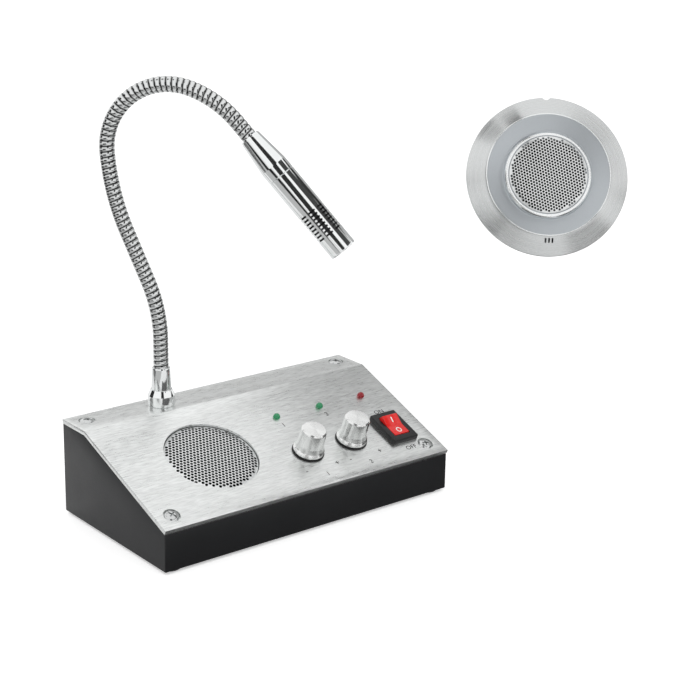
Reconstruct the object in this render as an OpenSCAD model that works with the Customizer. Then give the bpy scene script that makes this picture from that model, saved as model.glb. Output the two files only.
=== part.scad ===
// Two-part counter intercom: a wedge-shaped desk unit with a gooseneck
// microphone, and a round unit for the far side of the window.
// Millimetres. +Z is up, the operator sits at -Y, +X is to the right.
// The origin is the centre of the desk unit's underside.

/* [Body] */
// Width of the desk unit
body_w = 185; // [170:1:220]
// Depth of the desk unit
body_d = 97; // [92:1:125]
// Height of the black body at its back
back_h = 49.5; // [46:0.5:65]
// Height of the black body at its front
front_h = 20.5; // [18:0.5:26]
// Depth of the level ledge that carries the neck
ledge_d = 22; // [21:0.5:28]
// Thickness of the body's walls
wall = 2.5; // [1.5:0.1:3]
// Thickness of the body's floor
floor_t = 2.5; // [1.5:0.1:3]
// Diameter of a rubber foot
foot_d = 11; // [8:0.5:14]
// Height of a rubber foot
foot_h = 1.5; // [1:0.1:4]
// Distance of a foot's centre from the sides
foot_inset = 7.4; // [6:0.2:20]

/* [Panel] */
// Thickness of the folded aluminium plate
panel_t = 2.5; // [1.5:0.1:3]
// How far the plate stands out past the body's sides
panel_overhang = 0.25; // [0:0.05:0.5]
// Distance of the corner screws from the edges
screw_inset = 9.2; // [8.5:0.1:12]
// Thread diameter of the corner screws
screw_d = 4; // [3:0.5:4.5]
// Head diameter of the corner screws
screw_head_d = 8; // [7:0.1:8.5]
// Head height of the corner screws
screw_head_h = 2; // [1.4:0.1:2.6]
// Length of the corner screws below their heads
screw_len = 12; // [8:0.5:14]
// Depth of the sinking round each screw head
sink_depth = 1.3; // [0.6:0.1:1.4]

/* [Speaker] */
// Diameter of the speaker opening in the plate
speaker_open_d = 51; // [44:0.5:52]
// Place of the speaker across the plate
speaker_x = -38.5; // [-42:0.5:-36]
// Place of the speaker up the slope from the front edge
speaker_v = 41.5; // [38:0.5:43]
// Depth of the speaker
speaker_depth = 18; // [14:0.5:19]
// Diameter of the speaker's magnet
speaker_magnet_d = 32; // [24:0.5:34]
// Thickness of the perforated sheet
grille_t = 0.8; // [0.6:0.1:1]
// Rise of the perforated face above its rim
grille_rise = 1; // [0.5:0.1:1.5]
// Diameter of a hole in the perforated sheet
grille_hole_d = 1.8; // [1.2:0.1:2.2]
// Distance between the holes in the perforated sheet
grille_pitch = 4.4; // [4:0.1:6]

/* [Controls] */
// Place of the first column of controls across the plate
control_x = 14; // [13:0.5:15]
// Distance between the columns of controls
control_pitch = 29.5; // [29:0.25:30]
// Place of the knobs up the slope from the front edge
knob_v = 26.5; // [25:0.5:28]
// Place of the lamps up the slope from the front edge
lamp_v = 56.8; // [55:0.2:59]
// Diameter of a lamp
lamp_d = 4; // [3:0.5:5]
// Diameter of a knob's skirt
knob_skirt_d = 17.2; // [16:0.2:19]
// Diameter of a knob at its top
knob_top_d = 13.8; // [11:0.2:15]
// Height of a knob above the plate
knob_h = 15.5; // [12:0.5:20]
// Diameter of the volume control's shaft
pot_shaft_d = 6; // [4:0.5:6]
// Diameter of the volume control's threaded bush
pot_bush_d = 7; // [6.8:0.1:8]
// Diameter of the volume control's body
pot_body_d = 16.5; // [14:0.5:18]
// Depth of the volume control's body
pot_body_h = 8; // [7:0.5:10]

/* [Switch] */
// Distance of the switch's centre below the line of the knobs
switch_drop = 0.6; // [0:0.1:1.5]
// Width of the switch's frame
switch_w = 17.2; // [16.8:0.2:18]
// Length of the switch's frame up the slope
switch_l = 23.2; // [21.8:0.2:24]
// Height of the switch's frame above the plate
switch_rim_h = 2.8; // [1.5:0.1:3]
// Depth of the switch's body below its frame
switch_depth = 15; // [14.5:0.5:16]
// Width of the red rocker
rocker_w = 10.2; // [9:0.2:11.8]
// Length of the red rocker
rocker_l = 15.4; // [14:0.2:17.6]
// Angle between the rocker's two halves and level
rocker_tilt = 12; // [6:1:13]

/* [Neck] */
// Place of the neck across the ledge
neck_x = -38; // [-60:1:-30]
// Direction in which the neck leans, turned from straight at the operator
neck_swing = 39; // [-60:1:60]
// Diameter of the ribbed tube
neck_d = 8; // [7:0.1:8.4]
// Diameter of the tube's bore
neck_bore_d = 5; // [4:0.1:5.5]
// Distance between the ribs
rib_pitch = 2.6; // [2.4:0.1:4]
// Depth of the grooves between the ribs
rib_depth = 0.45; // [0.2:0.05:0.6]
// Upright length above the ledge
neck_rise = 36; // [34:0.5:50]
// Length of the backward bend
neck_back_len = 33.5; // [30:0.5:40]
// Turn of the backward bend
neck_back_turn = 23; // [10:1:30]
// Length of the leaning stretch
neck_lean_len = 28; // [15:0.5:45]
// Length of the bend back to upright
neck_right_len = 43; // [35:0.5:60]
// Turn of the bend back to upright
neck_right_turn = 19; // [10:1:30]
// Length of the crown
neck_crown_len = 68; // [60:0.5:90]
// Turn of the crown
neck_crown_turn = 112; // [90:1:120]
// Length of the falling bend
neck_fall_len = 29.5; // [25:0.5:40]
// Turn of the falling bend
neck_fall_turn = 30; // [10:1:40]
// Straight end of the tube before the microphone
neck_end_len = 9.5; // [9:0.5:20]
// Diameter of the collar on the ledge
collar_d = 14.6; // [13:0.2:16]
// Height of the collar's straight part
collar_h = 5.6; // [4:0.2:9]
// Height of the collar's chamfered shoulder
collar_shoulder_h = 3.4; // [2:0.2:5]
// Thread diameter under the collar
collar_thread_d = 10; // [9.8:0.1:10.6]
// Height of the tapered sleeve above the collar
sleeve_h = 12; // [8:0.2:16]

/* [Microphone] */
// Length of the plain part of the microphone
mic_adapter_l = 25.3; // [20:0.1:35]
// Length of the slotted barrel
mic_barrel_l = 49.6; // [42:0.2:60]
// Diameter of the microphone
mic_d = 15; // [13:0.2:17]
// Length over which the plain part widens
mic_taper_l = 19; // [15:0.5:19.5]
// Diameter of the microphone where the tube enters
mic_root_d = 11; // [10.4:0.1:11.8]
// Wall of the slotted barrel
mic_wall = 0.9; // [0.7:0.1:1.2]
// Number of slots in a row along the barrel
mic_slot_rings = 8; // [4:1:10]
// Number of slots round the barrel
mic_slot_rows = 6; // [4:2:6]
// Width of a slot
mic_slot_w = 1; // [0.6:0.1:1.3]
// Distance between the slots
mic_slot_pitch = 2.05; // [1.9:0.05:2.6]
// Plain length between the slots and the mouth
mic_mouth_l = 11.5; // [9:0.5:14]

/* [Circuit] */
// Width of the amplifier board
board_w = 88; // [80:1:88]
// Depth of the amplifier board
board_d = 46; // [40:1:48]
// Thickness of the boards
board_t = 1.6; // [1:0.1:2]
// Height of the board's pillars
pillar_h = 6; // [4:0.5:8]
// Distance between the sockets in the back wall
socket_pitch = 20; // [16:0.5:20]
// Bore diameter of the small sockets
jack_bore_d = 3.6; // [3.55:0.05:3.8]
// Depth of a small socket's bore
jack_bore_l = 14; // [12:0.5:15]

/* [Window unit] */
// Diameter of the window unit's flange
disc_d = 90; // [86:1:100]
// Height of the front rim above the flange's edge
disc_rim_h = 7.1; // [6.8:0.1:9]
// Diameter of the front rim
disc_rim_d = 69.2; // [68:0.2:70]
// Diameter of the raised ring round the perforated dome
disc_boss_d = 48.8; // [47:0.2:50]
// Diameter of the window unit's perforated dome
disc_grille_d = 43.6; // [40:0.2:44]
// Depth of the back shell behind the flange's edge
disc_back_h = 9; // [8.5:0.5:14]
// Thickness of the soft ring against the glass
disc_gasket_t = 1.5; // [1:0.1:3]
// Place of the window unit's flange, across
disc_x = 166; // [160:1:200]
// Place of the window unit's flange, from front to back
disc_y = -42; // [-60:1:0]
// Place of the window unit's flange, above the desk unit's underside
disc_z = 166; // [120:1:200]
// Turn of the window unit about the upright
disc_turn = -37; // [-60:1:0]
// Upward pitch of the window unit's face
disc_pitch = 25.5; // [0:0.5:40]

/* [Clearances] */
// Gap round a part that turns in a hole
turn_gap = 0.05; // [0.02:0.01:0.08]
// Gap round a part that stands still in a hole
seat_gap = 0.1; // [0.05:0.05:0.2]
// Gap between parts that move past each other
move_gap = 0.3; // [0.2:0.05:0.5]

/* [Hidden] */
$fn = 48;
cut = 1;                                  // how far a cutter passes a face

slope = atan2(back_h - front_h, body_d - ledge_d);
screw_x = body_w/2 - screw_inset;
post_d = screw_head_d + 1;
foot_x = body_w/2 - foot_inset;
foot_y = body_d/2 - foot_inset;
neck_y = ledge_d/2;                       // from the back edge
ledge_top = back_h + panel_t;

// speaker and grille, heights measured from the plate's underside
grille_flange = 3;
speaker_d = speaker_open_d + 2*grille_flange;
cloth_t = 0.4;
speaker_top = -grille_t - cloth_t;
rim_t = 1.6;
magnet_bore_d = 6;
stud_d = 3;
stud_len = 8;
stud_ring = speaker_d/2 + stud_d/2 + 0.6;
clip_t = 1.2;
clip_w = 7;

// controls
lamp_rim_h = 1;
lamp_stand = 0.2;                         // straight part of a lamp above the plate
lead_w = 0.5;
lead_pitch = 2.54;
pot_margin = 10;                          // board past the outer pots
lamp_margin = 5;                          // board past the lamps
pot_pin_w = 1.2;
pot_pin_l = 2;
pot_pin_t = 1;
pot_pin_pitch = 5;
columns = [control_x, control_x + control_pitch, control_x + 2*control_pitch];
knob_ring_t = 0.8;
knob_floor = panel_t + knob_ring_t + move_gap;
pot_nut_t = 2;
pot_nut_w = 10;
knob_recess_d = pot_nut_w*2/sqrt(3) + 2*move_gap;
knob_recess_h = pot_nut_t + 1.2;
bush_top = knob_floor + knob_recess_h - move_gap;
knob_wall_top = 3;
knob_chamfer = 1;
knob_top = panel_t + knob_h;
shaft_top = knob_top - knob_wall_top;
shaft_flat = 0.8;

// switch, heights measured from the plate's top face
rocker_r = rocker_l/2;
rocker_pin_d = 2.4;
rocker_pin_l = 0.9;
pivot_h = 0.8;
rocker_mid_h = 2.2;
switch_body_w = rocker_w + 3;
switch_body_l = rocker_l + 2.2;
terminal_w = 4.8;
terminal_l = 6;
terminal_t = 0.8;
terminal_pitch = 6;

// neck path: arcs as [length, turn], heading measured from upright
neck_arcs = [[neck_rise, 0], [neck_back_len, -neck_back_turn], [neck_lean_len, 0],
    [neck_right_len, neck_right_turn], [neck_crown_len, neck_crown_turn],
    [neck_fall_len, neck_fall_turn], [neck_end_len, 0]];
neck_len = arcs_length(len(neck_arcs));
lower_bend_s = neck_rise + neck_back_len/2;
middle_bend_s = neck_rise + neck_back_len + neck_lean_len + neck_right_len*0.6;
upper_bend_s = middle_bend_s + neck_right_len*0.4 + neck_crown_len*0.85;
tube_sides = 8;
bend_gap = 1.3;                           // tube left off each side of a bend
ball_d = neck_bore_d - 0.2;
stub_d = 3.6;                             // neck behind a ball
lead_d = 2.2;                             // way for the microphone's lead
plug_l = 3;                               // closed end behind a ball
tube_start = -2;                          // the tube starts inside the collar
tube_grip = 4;                            // tube held inside the microphone
sleeve_bore_d = neck_d + 2*seat_gap;
sleeve_root_d = neck_d + 2.8;
sleeve_taper = 1;
collar_top_d = sleeve_root_d + 0.6;
collar_thread_l = 9;
washer_d = 15;
washer_t = 1;
nut_w = 14;
nut_t = 4;

// microphone, lengths measured from the tube's end of the head
mic_inner_d = mic_d - 2*mic_wall;
mic_slots_top = mic_adapter_l + mic_barrel_l - mic_mouth_l;
capsule_l = 5;
boot_wall = 0.6;
mesh_t = 0.6;
mesh_inset = 2.5;
barrel_plug_l = 3;                        // closed root of the barrel, round the lead's way
mouth_chamfer = 0.4;
mic_pin_w = 0.6;
mic_pin_l = 3;
mic_pin_pitch = 2.6;

// circuit
board_top = floor_t + pillar_h + board_t;
board_back = body_d/2 - wall - 0.5;
board_x = screw_x - post_d/2 - board_w/2 - 1.5;
board_y = board_back - board_d/2;
pillar_inset = 4;
jack_w = 12;
jack_h = 11;
jack_axis_z = board_top + jack_h/2;
jack_bush_d = 6;
jack_bush_l = wall + 2;
jack_nut_d = 8.4;
jack_nut_t = 1.4;
jack_back_t = 1.5;                        // closed end behind a socket's bore
power_bore_l = 9;
power_pin_d = 2.1;
chip_w = 18;
chip_t = 3.2;
chip_h = 9;
chip_pin_l = 2;
chip_pin_w = 0.6;
chip_pin_pitch = 2.4;
chip_x = board_x - board_w/4;
chip_y = board_y - 2;
sink_w = 26;
sink_h = 14;
sink_t = 2;
fin_t = 1.2;
fin_l = 7;
fin_pitch = 4;
cap_d = 8;
cap_h = 12;
cap_pitch = 11;
small_cap_d = 6.3;
small_cap_h = 8;
small_cap_pitch = 9;
header_w = 10;
header_l = 5.6;
header_h = 7;
header_wall = 0.8;
header_pitch = 15;
socket_xs = [board_x - socket_pitch, board_x, board_x + socket_pitch];

// window unit, heights measured from the flange's edge, +z out of its face
disc_hole_d = disc_rim_d - 1.2;
flange_t = 1;
flange_seat = 1.5;                        // width that rests on the back shell
lip_h = disc_rim_h - 1.1;
cover_t = 1.5;
shell_d = disc_d - 5;
shell_wall = 2.5;
shell_floor = 2;
boss_top_h = disc_rim_h - 0.9;
boss_round = 0.8;
valley_h = disc_rim_h - 3.5;
grille_seat_h = disc_rim_h - 2.2;
disc_post_d = 6;
disc_screw_d = 3;
disc_screw_head_d = 5.6;
disc_screw_head_h = 1.2;
disc_jack_w = 6;
disc_jack_l = 12;
disc_jack_bush_d = 5;
disc_speaker_d = disc_grille_d + 1;
disc_speaker_top = grille_seat_h - cover_t;
disc_speaker_depth = disc_speaker_top + disc_back_h - shell_floor;
disc_magnet_d = 26;
disc_screw_ring = disc_speaker_d/2 + disc_post_d/2 + 0.5;
disc_screw_at = [30, 150, 270];
disc_land = 0.5;                          // flat in the shell's side for the socket
disc_land_y = shell_d/2 - disc_land;
skirt_d = disc_hole_d - 2*seat_gap;       // outside of the cover's skirt
wall_hole_pcd = 60;
wall_hole_d = 4.4;
wall_hole_at = [60, 180, 300];
slot_v = -disc_rim_d/2 - 2.2;             // middle of the sound slots
slot_l = 2.6;
slot_w = 1;
slot_pitch = 1.9;
notch_w = 5;
notch_h = 1;
disc_mic_room = shell_d/2 - shell_wall - skirt_d/2;
disc_mic_d = disc_mic_room - 1.3;         // its rubber holder, between skirt and shell
disc_mic_v = -skirt_d/2 - disc_mic_room/2;
disc_mic_cap = 0.8;                       // how much narrower the capsule is
disc_mic_h = 1.2;

function arc_end(p, l, turn) = turn == 0
    ? [p.x + l*sin(p.z), p.y + l*cos(p.z), p.z]
    : let (r = l*180/(PI*turn))
      [p.x + r*(cos(p.z) - cos(p.z + turn)), p.y + r*(sin(p.z + turn) - sin(p.z)), p.z + turn];
function arcs_length(n) = n == 0 ? 0 : neck_arcs[n - 1][0] + arcs_length(n - 1);
// [reach, height, heading] of the neck's centre line, s from the ledge
function neck_at(s, i = 0, p = [0, 0, 0]) =
    let (l = neck_arcs[i][0], turn = neck_arcs[i][1])
    s <= l || i == len(neck_arcs) - 1
        ? arc_end(p, s, turn*s/l)
        : neck_at(s - l, i + 1, arc_end(p, l, turn));
function ball_rings(s) =
    let (first = asin(stub_d/ball_d), last = 180 - asin(lead_d/ball_d))
    [for (i = [0:4]) let (a = first + (last - first)*i/4) [s - ball_d/2*cos(a), ball_d*sin(a)]];
function ring_at(s, d) =
    let (p = neck_at(s), r = d/2)
    [for (i = [0:tube_sides - 1])
        let (a = 360*(i + 0.5)/tube_sides, u = r*cos(a), w = r*sin(a))
        [p.x + u*cos(p.z), w, p.y - u*sin(p.z)]];

// ---- placing -------------------------------------------------------------

// x across, v up the slope from the front edge, h out of the plate's underside
module on_slope(x, v, h = 0)
    translate([0, -body_d/2, front_h]) rotate([slope, 0, 0]) translate([x, v, h]) children();

// x across, h above the plate's underside, at the ledge's middle unless y is given
module on_ledge(x, y = neck_y, h = 0)
    translate([x, body_d/2 - y, back_h + h]) children();

module in_neck_plane()
    on_ledge(neck_x, neck_y, panel_t) rotate([0, 0, neck_swing - 90]) children();

module at_neck(s) {
    p = neck_at(s);
    in_neck_plane() translate([p.x, 0, p.y]) rotate([0, p.z, 0]) children();
}

module at_mic(h = 0)
    at_neck(neck_len) translate([0, 0, h]) children();

module at_window_unit(h = 0)
    translate([disc_x, disc_y, disc_z]) rotate([90 - disc_pitch, 0, disc_turn])
        translate([0, 0, h]) children();

// the window unit's socket, +z out of the shell's upper side
module at_disc_socket()
    at_window_unit(disc_jack_w/2 + 0.4 + shell_floor - disc_back_h)
        translate([0, disc_land_y - shell_wall, 0]) rotate([-90, 0, 0]) children();

module at_corners(x, y)
    for (sx = [-1, 1], sy = [-1, 1]) translate([sx*x, sy*y, 0]) children();

module at_front_screws()
    for (sx = [-1, 1]) on_slope(sx*screw_x, screw_inset) children();

module at_back_screws()
    for (sx = [-1, 1]) on_ledge(sx*screw_x, screw_inset) children();

module at_board_holes()
    translate([board_x, board_y, 0])
        at_corners(board_w/2 - pillar_inset, board_d/2 - pillar_inset) children();

module at_speaker(h = 0)
    on_slope(speaker_x, speaker_v, h) children();

module at_studs()
    for (a = [45:90:315]) at_speaker() rotate([0, 0, a]) translate([stud_ring, 0, 0]) children();

module at_knob(column, h = 0)
    on_slope(columns[column], knob_v, h) children();

module at_switch(h = 0)
    on_slope(columns[2], knob_v - switch_drop, panel_t + h) children();

module at_socket(i, h = 0)
    translate([socket_xs[i], body_d/2 - wall + h, jack_axis_z]) rotate([-90, 0, 0]) children();

module polar(r, a) rotate([0, 0, a]) translate([r, 0, 0]) children();

// inside at_window_unit
module at_disc_screws(h)
    for (a = disc_screw_at) polar(disc_screw_ring, a) translate([0, 0, h]) children();

// ---- shared shapes -------------------------------------------------------

module tube(d, bore, h) difference() {
    cylinder(d = d, h = h);
    translate([0, 0, -cut]) cylinder(d = bore, h = h + 2*cut);
}

module hex_nut(across, bore, h) difference() {
    cylinder(d = across*2/sqrt(3), h = h, $fn = 6);
    translate([0, 0, -cut]) cylinder(d = bore, h = h + 2*cut);
}

// cross-head screw, head upwards, seat at z = 0
module cross_screw(d, head_d, head_h, l) difference() {
    union() {
        rotate_extrude() polygon([[0, 0], [head_d/2, 0], [head_d/2, head_h*0.45],
            [head_d/2*0.86, head_h*0.75], [head_d/2*0.5, head_h*0.95], [0, head_h]]);
        translate([0, 0, -l]) cylinder(d = d, h = l);
    }
    for (a = [0, 90]) rotate([0, 0, a]) translate([-head_d*0.3, -head_d*0.06, head_h*0.35])
        cube([head_d*0.6, head_d*0.12, head_h]);
}

// holes on a triangular grid inside a circle
module hole_grid(reach, pitch, d, depth) {
    rows = floor(reach/(pitch*sqrt(3)/2));
    for (row = [-rows:rows]) {
        y = row*pitch*sqrt(3)/2;
        shift = row % 2 == 0 ? 0 : pitch/2;
        side = floor((sqrt(max(0, reach*reach - y*y)) - shift)/pitch);
        for (i = [-side - (shift > 0 ? 1 : 0):side])
            translate([i*pitch + shift, y, 0]) cylinder(d = d, h = depth, $fn = 16);
    }
}

// pressed tray of perforated sheet: raised face, sloping edge, flat flange round it
module perforated_tray(d, flange_d, wall_h, rise, t, pitch, hole_d) {
    r = d/2;
    face_r = r - 2*rise;
    difference() {
        rotate_extrude() polygon([[0, wall_h + rise], [face_r, wall_h + rise], [r, wall_h],
            [r, t], [flange_d/2, t], [flange_d/2, 0], [r - t, 0], [r - t, wall_h - t/2],
            [face_r - t/2, wall_h + rise - t], [0, wall_h + rise - t]]);
        translate([0, 0, -cut]) hole_grid(face_r - t/2 - hole_d/2, pitch, hole_d, wall_h + rise + 2*cut);
    }
}

// ---- desk unit: body -----------------------------------------------------

module side_outline() polygon([[-body_d/2, 0], [body_d/2, 0], [body_d/2, back_h],
    [body_d/2 - ledge_d, back_h], [-body_d/2, front_h]]);

module along_width(w) rotate([90, 0, 90]) translate([0, 0, -w/2]) linear_extrude(w) children();

module inner_outline() polygon([[-body_d/2 + wall, floor_t], [body_d/2 - wall, floor_t],
    [body_d/2 - wall, back_h + cut], [-body_d/2 + wall, back_h + cut]]);

module posts(d) {
    at_front_screws() translate([0, 0, -back_h]) cylinder(d = d, h = back_h + cut);
    at_back_screws() translate([0, 0, -back_h]) cylinder(d = d, h = back_h + cut);
}

module housing() color("#2b2c2e") difference() {
    union() {
        difference() {
            along_width(body_w) side_outline();
            along_width(body_w - 2*wall) inner_outline();
        }
        intersection() {
            along_width(body_w - 2*wall) side_outline();
            posts(post_d);
        }
        at_board_holes() translate([0, 0, floor_t]) cylinder(d = 6, h = pillar_h);
    }
    at_front_screws() translate([0, 0, -screw_len]) cylinder(d = screw_d + seat_gap, h = screw_len + cut);
    at_back_screws() translate([0, 0, -screw_len]) cylinder(d = screw_d + seat_gap, h = screw_len + cut);
    at_board_holes() translate([0, 0, floor_t + 0.5]) cylinder(d = 2.6, h = pillar_h + cut);
    for (i = [0:2]) at_socket(i, -cut) cylinder(d = jack_bush_d + 2*seat_gap, h = wall + 2*cut);
}

module feet() color("#1b1b1c") at_corners(foot_x, foot_y) translate([0, 0, -foot_h])
    rotate_extrude() polygon([[0, 0], [foot_d/2 - 0.4, 0], [foot_d/2, 0.4], [foot_d/2, foot_h], [0, foot_h]]);

// the folded plate's outline seen from the side
module plate_outline() {
    fold = body_d/2 - ledge_d;
    polygon([[-body_d/2, front_h], [fold, back_h], [body_d/2, back_h], [body_d/2, ledge_top],
        [fold - panel_t*tan(slope/2), ledge_top],
        [-body_d/2 - panel_t*sin(slope), front_h + panel_t*cos(slope)]]);
}

module screw_sinking() {
    translate([0, 0, panel_t - sink_depth]) cylinder(d = screw_head_d + 1, h = sink_depth + cut);
    translate([0, 0, -cut]) cylinder(d = screw_d + 0.4, h = panel_t + 2*cut);
}

module top_panel() color("#c9cbcb") {
    difference() {
        along_width(body_w + 2*panel_overhang) plate_outline();
        at_front_screws() screw_sinking();
        at_back_screws() screw_sinking();
        at_speaker(-cut) cylinder(d = speaker_open_d, h = panel_t + 2*cut);
        for (x = columns) on_slope(x, lamp_v, -cut) cylinder(d = lamp_d + 2*seat_gap, h = panel_t + 2*cut);
        for (i = [0, 1]) at_knob(i, -cut) cylinder(d = pot_bush_d + 2*seat_gap, h = panel_t + 2*cut);
        at_switch(-panel_t/2) cube([switch_body_w + 2*seat_gap, switch_body_l + 2*seat_gap,
            panel_t + 2*cut], center = true);
        on_ledge(neck_x, neck_y, -cut) cylinder(d = collar_thread_d + 2*seat_gap, h = panel_t + 2*cut);
    }
    at_studs() translate([0, 0, -stud_len]) cylinder(d = stud_d, h = stud_len + panel_t/2);
}

module panel_screws() color("#d5d7d8") {
    at_front_screws() translate([0, 0, panel_t - sink_depth])
        cross_screw(screw_d, screw_head_d, screw_head_h, screw_len);
    at_back_screws() translate([0, 0, panel_t - sink_depth])
        cross_screw(screw_d, screw_head_d, screw_head_h, screw_len);
}

// ---- desk unit: speaker --------------------------------------------------

module speaker_grille() color("#b9bbbb") at_speaker(-grille_t)
    perforated_tray(speaker_open_d - 2*seat_gap, speaker_d, grille_t + 1, grille_rise, grille_t,
        grille_pitch, grille_hole_d);

module grille_cloth() color("#161616") at_speaker(-grille_t - cloth_t)
    cylinder(d = speaker_d, h = cloth_t);

// steel basket: rim, cone and cup, open at the front
module basket(d, rim, depth, magnet_d) rotate_extrude() polygon([[d/2, 0], [d/2, -rim],
    [d/2 - 3, -rim], [magnet_d/2 - 1, -depth*0.55], [5, -depth*0.55], [5, -depth*0.55 + 0.8],
    [magnet_d/2 - 2, -depth*0.55 + 0.8], [d/2 - 4, -rim + 0.8], [d/2 - 4, 0]]);

module cone_shape(d, depth) rotate_extrude() polygon([[d/2 - 4.2, 0], [d/2 - 4.2, -0.5],
    [8, -depth*0.4 - 0.5], [3, -depth*0.32 - 0.5], [0, -depth*0.28 - 0.5], [0, -depth*0.28],
    [3, -depth*0.32], [8, -depth*0.4]]);

module speaker_frame() color("#3c3d40") at_speaker(speaker_top)
    basket(speaker_d, rim_t, speaker_depth, speaker_magnet_d);

module speaker_cone() color("#1f1f20") at_speaker(speaker_top)
    cone_shape(speaker_d, speaker_depth);

module speaker_magnet() color("#55565a") at_speaker(speaker_top - speaker_depth)
    tube(speaker_magnet_d, magnet_bore_d, speaker_depth*0.45);

module speaker_clips() color("#b8bbbd") at_studs() difference() {
    translate([-stud_ring + speaker_d/2 - 2.4, -clip_w/2, speaker_top - rim_t - clip_t])
        cube([stud_ring - speaker_d/2 + 2.4 + clip_w/2, clip_w, clip_t]);
    translate([0, 0, -stud_len]) cylinder(d = stud_d + 2*seat_gap, h = stud_len);
}

module speaker_nuts() color("#b8bbbd") at_studs()
    translate([0, 0, speaker_top - rim_t - clip_t - 2]) hex_nut(5.5, stud_d + 2*turn_gap, 2);

// ---- desk unit: controls -------------------------------------------------

module lamp(column, tint) color(tint) on_slope(columns[column], lamp_v) {
    translate([0, 0, -lamp_rim_h]) cylinder(d = lamp_d + 0.8, h = lamp_rim_h);
    cylinder(d = lamp_d, h = panel_t + lamp_stand);
    translate([0, 0, panel_t + lamp_stand]) intersection() {
        sphere(d = lamp_d);
        translate([0, 0, -cut/2]) cylinder(d = lamp_d, h = lamp_d);
    }
    for (s = [-1, 1]) translate([s*lead_pitch/2 - lead_w/2, -lead_w/2, -pot_body_h])
        cube([lead_w, lead_w, pot_body_h - lamp_rim_h/2]);
}

module lamp_inside() lamp(0, "#3fa878");
module lamp_outside() lamp(1, "#3fa878");
module lamp_power() lamp(2, "#b02030");

module control_board() color("#1f6b3c") on_slope(0, 0, -pot_body_h - board_t) difference() {
    union() {
        translate([control_x - pot_margin, knob_v - pot_margin - 1, 0])
            cube([control_pitch + 2*pot_margin, lamp_v - knob_v + pot_margin + 6, board_t]);
        translate([control_x, lamp_v - lamp_margin - 1, 0])
            cube([2*control_pitch + lamp_margin, 2*lamp_margin + 1, board_t]);
    }
    for (x = [columns[0], columns[1]]) translate([x, knob_v + 14, -cut]) cylinder(d = 3, h = board_t + 2*cut);
}

module pot(column) color("#8d9094") at_knob(column) difference() {
    union() {
        translate([0, 0, -pot_body_h]) cylinder(d = pot_body_d, h = pot_body_h);
        cylinder(d = pot_bush_d, h = bush_top);
        for (i = [-1:1]) translate([i*pot_pin_pitch - pot_pin_w/2, -pot_body_d/2 - pot_pin_l, -pot_body_h])
            cube([pot_pin_w, pot_pin_l + 1.5, pot_pin_t]);
    }
    translate([0, 0, -pot_body_h/2]) cylinder(d = pot_shaft_d + 2*turn_gap, h = pot_body_h + bush_top);
}

module pot_inside() pot(0);
module pot_outside() pot(1);

module pot_shaft(column) color("#c7cacc") at_knob(column) difference() {
    translate([0, 0, -pot_body_h/2 + turn_gap]) cylinder(d = pot_shaft_d, h = pot_body_h/2 - turn_gap + shaft_top);
    translate([pot_shaft_d/2 - shaft_flat, -pot_shaft_d, bush_top + 0.5])
        cube([pot_shaft_d, 2*pot_shaft_d, shaft_top]);
}

module pot_shaft_inside() pot_shaft(0);
module pot_shaft_outside() pot_shaft(1);

module pot_nuts() color("#b8bbbd") for (i = [0, 1]) at_knob(i, panel_t)
    hex_nut(pot_nut_w, pot_bush_d + 2*turn_gap, pot_nut_t);

// turned knob with a flared skirt, a hollow foot over the nut and a D bore
module knob(column) color("#cfd1d2") at_knob(column) difference() {
    rotate_extrude() polygon([[0, knob_floor], [knob_skirt_d/2 - 0.2, knob_floor],
        [knob_skirt_d/2, knob_floor + 0.3], [knob_skirt_d/2, knob_floor + 1.2],
        [knob_skirt_d/2 - 0.7, knob_floor + 2.2], [knob_top_d/2 + 0.5, knob_floor + 4.5],
        [knob_top_d/2, knob_floor + knob_h*0.55], [knob_top_d/2, knob_top - knob_chamfer],
        [knob_top_d/2 - knob_chamfer, knob_top], [0, knob_top]]);
    translate([0, 0, knob_floor - cut]) cylinder(d = knob_recess_d, h = knob_recess_h + cut);
    difference() {
        translate([0, 0, knob_floor]) cylinder(d = pot_shaft_d + 2*turn_gap, h = shaft_top - knob_floor + turn_gap);
        translate([pot_shaft_d/2 - shaft_flat + turn_gap, -pot_shaft_d, bush_top + 1])
            cube([pot_shaft_d, 2*pot_shaft_d, shaft_top]);
    }
}

module knob_inside() knob(0);
module knob_outside() knob(1);

module knob_rings() color("#141415") for (i = [0, 1]) at_knob(i, panel_t)
    tube(knob_skirt_d + 0.6, knob_recess_d, knob_ring_t);

module switch_housing() color("#17181a") at_switch() difference() {
    union() {
        translate([-switch_w/2, -switch_l/2, 0]) cube([switch_w, switch_l, switch_rim_h]);
        translate([-switch_body_w/2, -switch_body_l/2, -switch_depth])
            cube([switch_body_w, switch_body_l, switch_depth]);
    }
    translate([0, 0, pivot_h]) rotate([0, 90, 0])
        cylinder(r = rocker_r + move_gap, h = rocker_w + 2*move_gap, center = true, $fn = 64);
    translate([0, 0, pivot_h]) rotate([0, 90, 0])
        cylinder(d = rocker_pin_d + 2*turn_gap, h = rocker_w + 2*move_gap + 2*rocker_pin_l, center = true);
}

// rocker with two flats that meet over the pivot; its O end rests pressed in
module rocker() color("#e8261c") at_switch(pivot_h) rotate([rocker_tilt, 0, 0]) {
    rotate([90, 0, 90]) translate([0, 0, -rocker_w/2]) linear_extrude(rocker_w) intersection() {
        circle(r = rocker_r, $fn = 64);
        polygon([[0, rocker_mid_h], [rocker_l, rocker_mid_h + rocker_l*tan(rocker_tilt)],
            [rocker_l, -4], [-rocker_l, -4], [-rocker_l, rocker_mid_h + rocker_l*tan(rocker_tilt)]]);
    }
    rotate([0, 90, 0]) cylinder(d = rocker_pin_d, h = rocker_w + 2*rocker_pin_l, center = true);
}

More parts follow.
